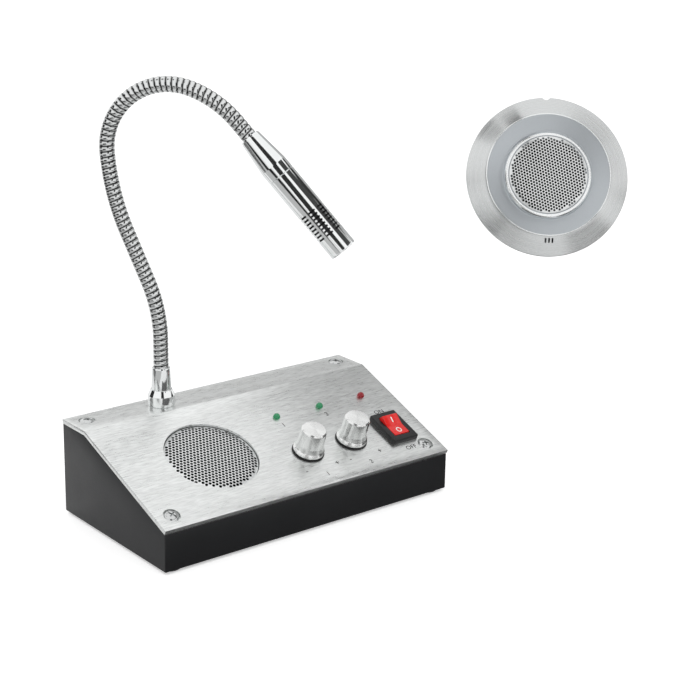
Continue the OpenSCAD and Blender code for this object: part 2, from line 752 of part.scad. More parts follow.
module switch_terminals() color("#c9b37a") at_switch(-switch_depth) for (i = [-1:1])
    translate([-terminal_w/2, i*terminal_pitch - terminal_t/2, -terminal_l])
        cube([terminal_w, terminal_t, terminal_l]);

// ---- neck ----------------------------------------------------------------

module neck_collar() color("#d7d9da") on_ledge(neck_x, neck_y, panel_t) difference() {
    union() {
        rotate_extrude() polygon([[0, 0], [collar_d/2 - 0.3, 0], [collar_d/2, 0.3],
            [collar_d/2, collar_h], [collar_top_d/2, collar_h + collar_shoulder_h],
            [0, collar_h + collar_shoulder_h]]);
        translate([0, 0, -collar_thread_l]) cylinder(d = collar_thread_d, h = collar_thread_l);
    }
    translate([0, 0, tube_start - 0.5]) cylinder(d = sleeve_bore_d, h = collar_h + collar_shoulder_h + 10);
    translate([0, 0, -collar_thread_l - cut]) cylinder(d = neck_bore_d, h = collar_thread_l + 2*cut);
}

module neck_washer() color("#b8bbbd") on_ledge(neck_x, neck_y, -washer_t)
    tube(washer_d, collar_thread_d + 2*seat_gap, washer_t);

module neck_nut() color("#b8bbbd") on_ledge(neck_x, neck_y, -washer_t - nut_t)
    hex_nut(nut_w, collar_thread_d + 2*turn_gap, nut_t);

module neck_sleeve() color("#cccecf") on_ledge(neck_x, neck_y, panel_t + collar_h + collar_shoulder_h)
    difference() {
        cylinder(d1 = sleeve_root_d, d2 = sleeve_root_d - sleeve_taper, h = sleeve_h);
        translate([0, 0, -cut]) cylinder(d = sleeve_bore_d, h = sleeve_h + 2*cut);
    }

// ribbed, hollow stretch of the neck between two places on its line; where
// ball_s is given it ends in a hollow ball there, which carries the next one
module ribbed_tube(s0, s1, ball_s = undef) {
    ribs = round((s1 - s0)/rib_pitch);
    step = (s1 - s0)/ribs;
    groove_d = neck_d - 2*rib_depth;
    has_ball = !is_undef(ball_s);
    bore_end = has_ball ? s1 - plug_l : s1;
    bore_steps = ceil((bore_end - s0)/5);
    outside = [for (i = [0:ribs - 1]) each [[s0 + step*i, groove_d], [s0 + step*(i + 0.5), neck_d]]];
    ball = has_ball ? concat([[s1, stub_d]], ball_rings(ball_s), [[bore_end, lead_d]]) : [];
    bore = [for (i = [bore_steps:-1:0]) [s0 + (bore_end - s0)*i/bore_steps, neck_bore_d]];
    rings = concat(outside, [[s1, groove_d]], ball, bore);
    n = len(rings);
    points = [for (ring = rings) each ring_at(ring[0], ring[1])];
    faces = [for (k = [0:n - 1], j = [0:tube_sides - 1])
        let (near = k*tube_sides, far = ((k + 1) % n)*tube_sides, next = (j + 1) % tube_sides)
        each [[near + j, near + next, far + next], [near + j, far + next, far + j]]];
    in_neck_plane() polyhedron(points = points, faces = faces, convexity = 8);
}

module neck_lower_tube() color("#bfc1c2")
    ribbed_tube(tube_start, lower_bend_s - bend_gap, lower_bend_s);
module neck_middle_tube() color("#bfc1c2")
    ribbed_tube(lower_bend_s + bend_gap, middle_bend_s - bend_gap, middle_bend_s);
module neck_upper_tube() color("#bfc1c2")
    ribbed_tube(middle_bend_s + bend_gap, upper_bend_s - bend_gap, upper_bend_s);
module neck_end_tube() color("#bfc1c2")
    ribbed_tube(upper_bend_s + bend_gap, neck_len + tube_grip);

// ---- microphone ----------------------------------------------------------

module mic_adapter() color("#d9dbdc") at_mic() difference() {
    rotate_extrude() polygon([[0, 0], [mic_root_d/2 - 0.6, 0], [mic_root_d/2, 0.8],
        [mic_d/2, mic_taper_l], [mic_d/2, mic_adapter_l], [0, mic_adapter_l]]);
    translate([0, 0, -cut]) cylinder(d = neck_d + 2*turn_gap, h = tube_grip + cut + 0.3);
    translate([0, 0, -cut]) cylinder(d = neck_bore_d, h = mic_adapter_l + 2*cut);
}

module mic_barrel() color("#d9dbdc") at_mic(mic_adapter_l) difference() {
    rotate_extrude() polygon([[0, 0], [mic_d/2, 0], [mic_d/2, mic_barrel_l - mouth_chamfer],
        [mic_d/2 - mouth_chamfer, mic_barrel_l], [0, mic_barrel_l]]);
    translate([0, 0, barrel_plug_l]) cylinder(d = mic_inner_d, h = mic_barrel_l);
    translate([0, 0, -cut]) cylinder(d = neck_bore_d, h = mic_barrel_l);
    for (i = [0:mic_slot_rings - 1], k = [0:mic_slot_rows/2 - 1])
        translate([0, 0, mic_slots_top - mic_adapter_l - i*mic_slot_pitch]) rotate([0, 0, k*360/mic_slot_rows])
            cube([mic_d + cut, mic_d*0.34, mic_slot_w], center = true);
}

module mic_capsule() color("#a8abae") at_mic(mic_slots_top - capsule_l) {
    cylinder(d = mic_inner_d - 2*boot_wall, h = capsule_l);
    for (s = [-1, 1]) translate([s*mic_pin_pitch/2 - mic_pin_w/2, -mic_pin_w/2, -mic_pin_l])
        cube([mic_pin_w, mic_pin_w, mic_pin_l]);
}

module mic_boot() color("#202124") at_mic(mic_slots_top - capsule_l)
    tube(mic_inner_d, mic_inner_d - 2*boot_wall, capsule_l);

module mic_mesh() color("#8f9295") at_mic(mic_adapter_l + mic_barrel_l - mesh_inset)
    cylinder(d = mic_inner_d - turn_gap, h = mesh_t);

// ---- circuit -------------------------------------------------------------

module main_board() color("#1f6b3c") difference() {
    translate([board_x - board_w/2, board_y - board_d/2, board_top - board_t])
        cube([board_w, board_d, board_t]);
    at_board_holes() translate([0, 0, floor_t]) cylinder(d = 3.2, h = board_top);
}

module board_screws() color("#c8cacb") at_board_holes() translate([0, 0, board_top])
    cross_screw(2.5, 5.2, 1.8, 6);

module amplifier_chip() color("#1a1a1b") translate([chip_x, chip_y, board_top]) {
    translate([-chip_w/2, 0, chip_pin_l]) cube([chip_w, chip_t, chip_h]);
    for (i = [-3:3]) translate([i*chip_pin_pitch - chip_pin_w/2, chip_t/2 - chip_pin_w/2, 0])
        cube([chip_pin_w, chip_pin_w, chip_pin_l]);
}

// fins stand in front of the plate that the chip leans on
module heat_sink() color("#9a9da0") translate([chip_x, chip_y, board_top]) {
    translate([-sink_w/2, -sink_t, 0]) cube([sink_w, sink_t, sink_h]);
    for (i = [-3:3]) translate([i*fin_pitch - fin_t/2, -sink_t - fin_l, 0]) cube([fin_t, fin_l, sink_h]);
}

module capacitors() color("#23304a") translate([board_x + 6, board_y - 4, board_top]) {
    for (i = [0:2]) translate([i*cap_pitch, 0, 0]) cylinder(d = cap_d, h = cap_h);
    for (i = [0:1]) translate([i*small_cap_pitch + 2, -cap_d/2 - small_cap_d/2 - 1.25, 0])
        cylinder(d = small_cap_d, h = small_cap_h);
}

module wire_headers() color("#e9e6da") for (i = [0:3])
    translate([board_x + (i - 1.5)*header_pitch, board_y - board_d/2 + 4, board_top]) difference() {
        translate([-header_w/2, -header_l/2, 0]) cube([header_w, header_l, header_h]);
        translate([-header_w/2 + header_wall, -header_l/2 + header_wall, header_wall])
            cube([header_w - 2*header_wall, header_l - 2*header_wall, header_h]);
    }

// ---- sockets in the back wall ---------------------------------------------

module socket_body(bush_l) {
    translate([-jack_w/2, -jack_h/2, -(jack_bore_l + jack_back_t - jack_bush_l)])
        cube([jack_w, jack_h, jack_bore_l + jack_back_t - jack_bush_l]);
    cylinder(d = jack_bush_d, h = bush_l);
}

module jack(i) at_socket(i) difference() {
    socket_body(jack_bush_l);
    translate([0, 0, jack_bush_l - jack_bore_l]) cylinder(d = jack_bore_d, h = jack_bore_l + cut);
}

module outside_unit_socket() color("#202124") jack(0);
module record_socket() color("#202124") jack(1);

module power_socket() color("#18191b") at_socket(2) {
    difference() {
        socket_body(wall);
        translate([0, 0, wall - power_bore_l]) cylinder(d = jack_bush_d - 0.8, h = power_bore_l + cut);
    }
    translate([0, 0, wall - power_bore_l - cut]) cylinder(d = power_pin_d, h = power_bore_l + cut - 1);
}

module socket_nuts() color("#b8bbbd") for (i = [0, 1]) at_socket(i, wall)
    tube(jack_nut_d, jack_bush_d + 2*turn_gap, jack_nut_t);

// ---- window unit -----------------------------------------------------------

module outside_flange() color("#b4b7b9") at_window_unit() {
    inner = disc_hole_d/2;
    difference() {
        rotate_extrude($fn = 96) polygon([[disc_d/2, 0], [disc_d/2, flange_t], [inner + 1, lip_h],
            [inner, lip_h], [inner, lip_h - flange_t], [inner + 0.6, lip_h - flange_t],
            [shell_d/2 - flange_seat, 0]]);
        for (i = [-1:1]) translate([i*slot_pitch, slot_v, 0])
            cube([slot_w, slot_l, 4*disc_rim_h], center = true);
        translate([0, disc_d/2, 0]) cube([notch_w, 2*notch_h, 4*flange_t], center = true);
    }
}

// satin ring: rim, hollow slope and raised ring round the perforated dome
module outside_cover() color("#a9adb2") at_window_unit() difference() {
    skirt_r = skirt_d/2;
    slope_r = disc_hole_d/2 - 2*cover_t;      // where the slope meets the skirt inside
    slope_h = lip_h - 0.5 - cover_t;
    union() {
        rotate_extrude($fn = 96) polygon([[skirt_r, 0], [skirt_r, lip_h],
            [disc_rim_d/2, lip_h], [disc_rim_d/2, disc_rim_h - 0.5], [disc_rim_d/2 - 0.6, disc_rim_h],
            [disc_rim_d/2 - 1.4, disc_rim_h - 0.1], [disc_boss_d/2, valley_h],
            [disc_boss_d/2 - boss_round/2, boss_top_h - boss_round],
            [disc_boss_d/2 - boss_round, boss_top_h], [disc_grille_d/2 + seat_gap, boss_top_h],
            [disc_grille_d/2 + seat_gap, grille_seat_h], [disc_grille_d/2 - 1.2, grille_seat_h],
            [disc_grille_d/2 - 1.2, disc_speaker_top], [disc_speaker_d/2 + seat_gap, disc_speaker_top],
            [disc_boss_d/2, valley_h - cover_t], [slope_r, slope_h], [skirt_r - cover_t, 0]]);
        intersection() {
            at_disc_screws(shell_floor - disc_back_h) cylinder(d = disc_post_d, h = 2*disc_back_h);
            rotate_extrude($fn = 96) polygon([[0, -disc_back_h], [slope_r, -disc_back_h],
                [slope_r, slope_h + cover_t/2], [disc_boss_d/2, valley_h - cover_t/2],
                [0, valley_h - cover_t/2]]);
        }
    }
    at_disc_screws(-disc_back_h) cylinder(d = disc_screw_d + seat_gap, h = disc_back_h);
}

module outside_grille() color("#c4c6c7") at_window_unit(grille_seat_h)
    perforated_tray(disc_grille_d - 1.6, disc_grille_d, grille_t + 0.8, grille_rise, grille_t,
        grille_pitch, grille_hole_d);

module outside_cloth() color("#161616") at_window_unit(disc_speaker_top - cloth_t)
    cylinder(d = disc_speaker_d, h = cloth_t);

module outside_speaker() color("#3c3d40") at_window_unit(disc_speaker_top - cloth_t)
    basket(disc_speaker_d, 1, disc_speaker_depth - cloth_t, disc_magnet_d);

module outside_magnet() color("#55565a") at_window_unit(shell_floor - disc_back_h)
    cylinder(d = disc_magnet_d, h = (disc_speaker_depth - cloth_t)*0.45);

module outside_mic() color("#a8abae") at_window_unit() translate([0, disc_mic_v, 0]) {
    translate([0, 0, shell_floor - disc_back_h]) cylinder(d = disc_mic_d, h = disc_back_h - shell_floor);
    cylinder(d = disc_mic_d - disc_mic_cap, h = disc_mic_h);
}

// disc with a flat on its +y side
module flat_disc(d, flat_y, h) difference() {
    cylinder(d = d, h = h, $fn = 96);
    translate([-d/2, flat_y, -cut]) cube([d, d, h + 2*cut]);
}

module outside_back_shell() color("#2b2c2e") difference() {
    at_window_unit() difference() {
        translate([0, 0, -disc_back_h]) flat_disc(shell_d, disc_land_y, disc_back_h);
        translate([0, 0, shell_floor - disc_back_h])
            flat_disc(shell_d - 2*shell_wall, disc_land_y - shell_wall, disc_back_h);
        for (a = wall_hole_at) polar(wall_hole_pcd/2, a) translate([0, 0, -disc_back_h - cut])
            cylinder(d = wall_hole_d, h = shell_floor + 2*cut);
        at_disc_screws(-disc_back_h - cut) {
            cylinder(d = disc_screw_d + 2*seat_gap, h = shell_floor + 2*cut);
            cylinder(d = disc_screw_head_d + 2*seat_gap, h = cut + disc_screw_head_h);
        }
    }
    at_disc_socket() translate([0, 0, -cut])
        cylinder(d = disc_jack_bush_d + 2*seat_gap, h = shell_wall + 2*cut);
}

module outside_gasket() color("#111112") at_window_unit(-disc_back_h - disc_gasket_t)
    tube(shell_d - 1, shell_d - 12, disc_gasket_t, $fn = 96);

module outside_screws() color("#c8cacb") at_window_unit()
    at_disc_screws(disc_screw_head_h - disc_back_h) rotate([180, 0, 0])
        cross_screw(disc_screw_d, disc_screw_head_d, disc_screw_head_h, 5);

module outside_socket() color("#202124") at_disc_socket() difference() {
    union() {
        translate([-disc_jack_w/2, -disc_jack_w/2, -disc_jack_l + shell_wall])
            cube([disc_jack_w, disc_jack_w, disc_jack_l - shell_wall]);
        cylinder(d = disc_jack_bush_d, h = shell_wall);
    }
    translate([0, 0, shell_wall + 1 - disc_jack_l]) cylinder(d = jack_bore_d, h = disc_jack_l);
}

housing();
feet();
top_panel();
panel_screws();
speaker_grille();
grille_cloth();
speaker_frame();
speaker_cone();
speaker_magnet();
speaker_clips();
speaker_nuts();
lamp_inside();
lamp_outside();
lamp_power();
control_board();
pot_inside();
pot_outside();
pot_shaft_inside();
pot_shaft_outside();
pot_nuts();
knob_inside();
knob_outside();
knob_rings();
switch_housing();
rocker();
switch_terminals();
neck_collar();
neck_washer();
neck_nut();
neck_sleeve();
neck_lower_tube();
neck_middle_tube();
neck_upper_tube();
neck_end_tube();
mic_adapter();
mic_barrel();
mic_capsule();
mic_boot();
mic_mesh();
main_board();
board_screws();
amplifier_chip();
heat_sink();
capacitors();
wire_headers();
outside_unit_socket();
record_socket();
power_socket();
socket_nuts();
outside_flange();
outside_cover();
outside_grille();
outside_cloth();
outside_speaker();
outside_magnet();
outside_mic();
outside_back_shell();
outside_gasket();
outside_screws();
outside_socket();
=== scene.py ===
"""Looks for the teller window intercom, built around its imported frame.

Shapes are worked out in millimetres in the row frame: the origin is the
centre of the desk unit's underside, +Z is up and the operator sits at -Y.
"""

import math

import bmesh
import bpy
from bpy.props import FloatProperty, FloatVectorProperty, IntProperty, PointerProperty
from mathutils import Matrix, Vector


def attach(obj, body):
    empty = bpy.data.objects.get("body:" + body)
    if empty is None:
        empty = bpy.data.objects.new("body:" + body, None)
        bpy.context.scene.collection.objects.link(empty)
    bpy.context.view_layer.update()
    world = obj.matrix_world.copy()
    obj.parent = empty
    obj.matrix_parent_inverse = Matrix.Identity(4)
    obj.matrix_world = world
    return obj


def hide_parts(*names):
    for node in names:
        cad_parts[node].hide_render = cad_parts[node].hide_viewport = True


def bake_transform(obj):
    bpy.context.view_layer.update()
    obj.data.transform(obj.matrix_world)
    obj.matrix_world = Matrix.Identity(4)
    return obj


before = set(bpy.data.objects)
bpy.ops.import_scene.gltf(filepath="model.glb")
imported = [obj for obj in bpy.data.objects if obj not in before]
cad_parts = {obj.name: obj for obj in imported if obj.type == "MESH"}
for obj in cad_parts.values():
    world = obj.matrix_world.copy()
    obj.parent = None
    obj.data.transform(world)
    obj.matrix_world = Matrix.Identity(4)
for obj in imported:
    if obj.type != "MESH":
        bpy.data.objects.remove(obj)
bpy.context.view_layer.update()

bl_info = {
    "name": "Teller window intercom",
    "version": (1, 0, 0),
    "blender": (4, 5, 0),
    "location": "3D View > Sidebar > Intercom",
    "description": "Builds the visible pieces of a counter intercom around its packed frame",
    "category": "Add Mesh",
}

MM = 0.001

# The desk unit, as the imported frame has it
CASE_WIDTH, CASE_DEPTH = 185.0, 97.0
SIDE_X, BACK_Y = CASE_WIDTH / 2, CASE_DEPTH / 2
CASE_BACK, CASE_FRONT = 49.5, 20.5
LEDGE_DEPTH = 22.0
WALL = 2.5
PLATE = 2.5
PLATE_OVERHANG = 0.25
SLOPE = math.atan2(CASE_BACK - CASE_FRONT, CASE_DEPTH - LEDGE_DEPTH)
FOOT_INSET, FOOT_RADIUS, FOOT_HEIGHT = 7.4, 5.5, 1.5
SCREW_INSET, SINK_RADIUS, SINK_DEPTH = 9.2, 4.5, 1.3
SPEAKER_X, SPEAKER_V, SPEAKER_RADIUS = -38.5, 41.5, 25.5
COLUMNS, LAMP_RADIUS = (14.0, 43.5, 73.0), 2.0
KNOB_V, LAMP_V, SWITCH_V = 26.5, 56.8, 25.9
KNOB_FLOOR, KNOB_TOP = PLATE + 1.1, PLATE + 15.5
SOCKET_X, SOCKET_Z, SOCKET_RADIUS = (13.3, 33.3, 53.3), 15.6, 3.1
SWITCH_SIZE, SWITCH_WELL, SWITCH_RIM = (17.2, 23.2), (10.8, 16.0), 2.8
ROCKER_TILT, ROCKER_REACH, ROCKER_MIDDLE, ROCKER_PIVOT = 12.0, 7.7, 2.2, 0.8
COLLAR_HEIGHT, SHOULDER_HEIGHT, SLEEVE_HEIGHT = 5.6, 3.4, 12.0

# The gooseneck's centre line: arcs as (length, turn in degrees)
NECK_X, NECK_Y, LEDGE_TOP = -38.0, BACK_Y - LEDGE_DEPTH / 2, CASE_BACK + PLATE
NECK_SWING, NECK_RADIUS, NECK_FLEX = 39.0, 4.2, 14.0
NECK_ARCS = ((36, 0), (33.5, -23), (28, 0), (43, 19), (68, 112), (29.5, 30), (9.5, 0))
NECK_LENGTH = sum(length for length, _ in NECK_ARCS)
BENDS = (52.75, 123.3, 198.3)
ADAPTER_LENGTH, BARREL_LENGTH, MIC_RADIUS, TAPER_LENGTH = 25.3, 49.6, 7.5, 19.0
MIC_SIDES, MIC_WALL, SLOTS_TOP = 96, 0.9, BARREL_LENGTH - 11.5
SLOT_COLUMN, SLOT_OPEN, SLOT_SHIFT = 12, 8, 9  # sides of one column, of its slot, and to the first

# The window unit
WINDOW_AT, WINDOW_TURN, WINDOW_PITCH = (166.0, -42.0, 166.0), -37.0, 25.5
FLANGE_RADIUS, RIM_RADIUS, RIM_HEIGHT = 45.0, 34.6, 7.1
LIP_HEIGHT = RIM_HEIGHT - 1.1
BOSS_RADIUS, WINDOW_GRILLE_RADIUS = 24.4, 21.8
SLOT_ROW_V = -RIM_RADIUS - 2.2
WINDOW_SIDES = 192

# The camera that was fitted to the photo: its axes, its place in millimetres, and its lens
CAMERA_RIGHT = (0.781434, -0.62374, 0.017613)
CAMERA_UP = (0.177679, 0.249481, 0.95194)
CAMERA_BACK = (-0.598157, -0.740748, 0.305778)
CAMERA_AT, CAMERA_LENS, CAMERA_SENSOR = (-517.21, -707.98, 372.99), 92.03, 36.0
# Lamps: name, place, size, watts
LAMPS = (("key", (-700, -500, 1300), 900, 4), ("fill", (900, -900, 900), 900, 2),
         ("back", (200, 1100, 900), 900, 1.5))
# Cards that only mirrors see: name, direction, distance, width, height, grey. The first
# four are placed from the microphone's middle, the others from the object's.
MICROPHONE_MIDDLE, OBJECT_MIDDLE, NEAR_MICROPHONE = (12, -24, 167), (30, 0, 80), 4
FLAGS = (
    ("left_front", (-0.49, -0.76, 0.43), 400, 190, 350, 0.03),
    ("front", (0.23, -0.75, 0.62), 1500, 520, 480, 0.06),
    ("front_right", (0.48, -0.56, 0.67), 400, 175, 130, 0.06),
    ("right", (0.78, -0.20, 0.59), 150, 80, 55, 0.04),
    ("high_left", (-0.36, 0.25, 0.90), 1500, 420, 420, 0.03),
    ("left_side", (-0.75, 0.63, 0.2), 1500, 1000, 700, 0.03),
    ("right_side", (0.905, -0.415, 0.05), 830, 650, 300, 0.04),
    ("low_left", (-0.97, -0.23, -0.03), 560, 400, 120, 0.02),
    ("low_front", (0.19, -0.98, -0.03), 760, 500, 120, 0.02),
    ("right_back", (0.85, 0.3, 0.45), 1500, 1500, 900, 0.45),
    ("back", (0.6, 0.74, 0.31), 1500, 1100, 450, 0.42),
)
# Mats on the floor that only mirrors see: name, centre, width, depth, grey
MATS = (
    ("left", (-470, 325), 520, 450, 0.03),
    ("right", (335, -145), 370, 410, 0.03),
    ("grey", (-400, -60), 400, 600, 0.5),
    ("front", (30, -110), 300, 125, 0.12),
)


def linear(code):
    """An sRGB hex colour as linear red, green and blue."""
    levels = [int(code[i : i + 2], 16) / 255 for i in (1, 3, 5)]
    return [c / 12.92 if c <= 0.04045 else ((c + 0.055) / 1.055) ** 2.4 for c in levels]


def length(name, description, millimetres):
    return FloatProperty(name=name, description=description, default=millimetres * MM,
                         min=0, precision=5, unit="LENGTH")


def colour(name, description, code):
    return FloatVectorProperty(name=name, description=description, default=linear(code),
                               min=0, max=1, size=3, subtype="COLOR")


class IntercomSizes(bpy.types.PropertyGroup):
    """Sizes that only the visible pieces have."""

    case_round: length("Case edges", "Rounding of the moulded case's edges", 0.6)
    plate_round: length("Plate edges", "Rounding of the plate's cut edges", 0.25)
    fold_round: length("Fold", "Outer radius of the plate's fold", 2.2)
    hole_pitch: length("Hole pitch", "Distance between holes of the window unit's sheet", 1.7)
    hole_diameter: length("Hole diameter", "Diameter of a hole of the window unit's sheet", 1.32)
    desk_hole_pitch: length("Desk hole pitch", "Distance between holes of the desk unit's sheet", 2.1)
    desk_hole_diameter: length("Desk hole diameter", "Diameter of a hole of the desk unit's sheet", 1.7)
    rib_pitch: length("Rib pitch", "Distance between the gooseneck's windings", 2.9)
    rib_depth: length("Rib depth", "Depth of the grooves between the windings", 0.55)
    slot_width: length("Slot width", "Width of a slot in the microphone", 1.0)
    slot_pitch: length("Slot pitch", "Distance between the slots in the microphone", 2.05)
    slot_rings: IntProperty(name="Slot rings", description="Slots in a row along the microphone",
                            default=8, min=1, max=10)
    mark_height: length("Mark height", "Height of the printed letters", 3.0)


class IntercomColours(bpy.types.PropertyGroup):
    """Colours of the visible finishes."""

    plate: colour("Plate", "Brushed aluminium plate", "#eceeed")
    case: colour("Case", "Black moulded case", "#1c1d1f")
    chrome: colour("Chrome", "Bright plated neck and microphone", "#f2f4f4")
    knob: colour("Knobs", "Turned aluminium knobs", "#eeefee")
    rocker: colour("Rocker", "Red rocker", "#e8201c")
    green_lamp: colour("Green lamps", "Resin of the two channel lamps", "#2f9e68")
    red_lamp: colour("Red lamp", "Resin of the power lamp", "#a81826")
    flange: colour("Flange", "Turned flange of the window unit", "#d8dada")
    ring: colour("Ring", "Satin ring of the window unit", "#c4c9cd")
    sheet: colour("Sheets", "Perforated sheets", "#f0f2f2")


# ---- places, in millimetres -------------------------------------------------


def move(x=0.0, y=0.0, z=0.0):
    return Matrix.Translation((x, y, z))


def turn(degrees, axis):
    return Matrix.Rotation(math.radians(degrees), 4, axis)


def on_slope(x, v, h=0.0):
    """x across, v up the slope from the front edge, h above the plate's underside."""
    return move(0, -BACK_Y, CASE_FRONT) @ Matrix.Rotation(SLOPE, 4, "X") @ move(x, v, h)


def on_ledge(x, from_back, h=0.0):
    return move(x, BACK_Y - from_back, CASE_BACK + h)


def screw_places(h):
    side = SIDE_X - SCREW_INSET
    return ([on_slope(x, SCREW_INSET, h) for x in (-side, side)]
            + [on_ledge(x, SCREW_INSET, h) for x in (-side, side)])


def neck_line(s):
    """(reach, height, heading in radians) of the neck's centre line."""
    reach, height, heading = 0.0, 0.0, 0.0
    for number, (size, bend) in enumerate(NECK_ARCS):
        run = s if number == len(NECK_ARCS) - 1 else min(s, size)
        angle = math.radians(bend) * run / size
        if abs(angle) < 1e-9:
            reach += run * math.sin(heading)
            height += run * math.cos(heading)
        else:
            radius = run / angle
            reach += radius * (math.cos(heading) - math.cos(heading + angle))
            height += radius * (math.sin(heading + angle) - math.sin(heading))
        heading += angle
        s -= run
        if s <= 0:
            break
    return reach, height, heading


def at_neck(s):
    reach, height, heading = neck_line(s)
    return (move(NECK_X, NECK_Y, LEDGE_TOP) @ turn(NECK_SWING - 90, "Z")
            @ move(reach, 0, height) @ Matrix.Rotation(heading, 4, "Y"))


def at_mic(h=0.0):
    return at_neck(NECK_LENGTH) @ move(0, 0, h)


def at_window(h=0.0):
    return (move(*WINDOW_AT) @ turn(WINDOW_TURN, "Z") @ turn(90 - WINDOW_PITCH, "X")
            @ move(0, 0, h))


# ---- shapes, in millimetres -------------------------------------------------


def soften(points, steps=4, closed=True):
    """Rounds the corners of an outline. A point is (x, y) or (x, y, radius)."""
    made, count = [], len(points)
    for i, point in enumerate(points):
        radius = point[2] if len(point) > 2 else 0
        corner = Vector(point[:2])
        if not radius or (not closed and i in (0, count - 1)):
            made.append(tuple(corner))
            continue
        before = Vector(points[i - 1][:2]) - corner
        after = Vector(points[(i + 1) % count][:2]) - corner
        back = min(radius / max(math.tan(before.angle(after) / 2), 0.05),
                   before.length * 0.49, after.length * 0.49)
        start, end = corner + before.normalized() * back, corner + after.normalized() * back
        for k in range(steps + 1):
            t = k / steps
            made.append(tuple(start * (1 - t) ** 2 + corner * 2 * t * (1 - t) + end * t * t))
    return made


def lathe(profile, sides=96, closed=False):
    """A turned shape from (radius, height) points."""
    bm = bmesh.new()
    rings = []
    for radius, height in profile:
        if radius < 1e-6:
            rings.append([bm.verts.new((0, 0, height))] * sides)
        else:
            rings.append([bm.verts.new((radius * math.cos(a), radius * math.sin(a), height))
                          for a in (2 * math.pi * k / sides for k in range(sides))])
    pairs = list(zip(rings, rings[1:])) + ([(rings[-1], rings[0])] if closed else [])
    for low, high in pairs:
        for k in range(sides):
            corners = []
            for v in (low[k], low[(k + 1) % sides], high[(k + 1) % sides], high[k]):
                if v not in corners:
                    corners.append(v)
            if len(corners) > 2:
                bm.faces.new(corners)
    return bm


def rod(radius, low, high, sides=48):
    return lathe([(0, low), (radius, low), (radius, high), (0, high)], sides)


def turned(wall, sides=96, steps=4):
    """A hollow turned shape from the outline of its wall."""
    return lathe(soften(wall, steps), sides, closed=True)


def prism(outline, start, end, axis="Z"):
    """An outline pushed from start to end. Along X the outline is (y, z)."""
    bm = bmesh.new()
    place = {"X": lambda p, h: (h, p[0], p[1]), "Z": lambda p, h: (p[0], p[1], h)}[axis]
    low = [bm.verts.new(place(p, start)) for p in outline]
    high = [bm.verts.new(place(p, end)) for p in outline]
    bm.faces.new(low)
    bm.faces.new(high)
    for i in range(len(outline)):
        j = (i + 1) % len(outline)
        bm.faces.new((low[i], low[j], high[j], high[i]))
    return bm


def box(width, depth, low, high, radius=0):
    w, d = width / 2, depth / 2
    return prism(soften([(-w, -d, radius), (w, -d, radius), (w, d, radius), (-w, d, radius)]), low, high)


def bevel(bm, size, steps=2, chosen=lambda edge: True, sharper=30):
    bmesh.ops.recalc_face_normals(bm, faces=bm.faces)
    edges = [e for e in bm.edges if e.is_manifold
             and e.calc_face_angle(0) > math.radians(sharper) and chosen(e)]
    bmesh.ops.bevel(bm, geom=edges, offset=size, segments=steps, profile=0.5,
                    affect="EDGES", clamp_overlap=True)
    return bm


def joined(*shapes):
    """Several shapes, or (shape, matrix) pairs, as one."""
    whole = bmesh.new()
    for shape in shapes:
        bm, at = shape if isinstance(shape, tuple) else (shape, Matrix.Identity(4))
        copy = bm.copy()
        bmesh.ops.transform(copy, matrix=at, verts=copy.verts)
        held = bpy.data.meshes.new("held")
        copy.to_mesh(held)
        whole.from_mesh(held)
        bpy.data.meshes.remove(held)
        copy.free()
    return whole


def put(name, data):
    """A new object in the scene."""
    made = bpy.data.objects.new(name, data)
    bpy.context.scene.collection.objects.link(made)
    return made


def final_shape(thing):
    """An object's mesh once its modifiers or its text are worked out."""
    ready = thing.evaluated_get(bpy.context.evaluated_depsgraph_get())
    bm = bmesh.new()
    bm.from_mesh(ready.to_mesh())
    ready.to_mesh_clear()
    return bm


def cut(bm, *cutters):
    """The shape with each cutter, or (cutter, matrix) pair, taken out of it."""
    for cutter in cutters:
        things = []
        for shape in (bm, joined(cutter)):
            bmesh.ops.recalc_face_normals(shape, faces=shape.faces)
            mesh = bpy.data.meshes.new("cut")
            shape.to_mesh(mesh)
            things.append(put("cut", mesh))
        tool = things[0].modifiers.new("cut", "BOOLEAN")
        tool.operation, tool.solver, tool.object = "DIFFERENCE", "EXACT", things[1]
        bm = final_shape(things[0])
        for thing in things:
            mesh = thing.data
            bpy.data.objects.remove(thing)
            bpy.data.meshes.remove(mesh)
    return bm


def thicken(bm, shift):
    """Gives an open sheet its other side, each point of it moved by shift."""
    bmesh.ops.recalc_face_normals(bm, faces=bm.faces)
    grown = bmesh.ops.extrude_face_region(bm, geom=bm.faces[:], use_keep_orig=True)
    for v in grown["geom"]:
        if isinstance(v, bmesh.types.BMVert):
            shift(v)
    return bm


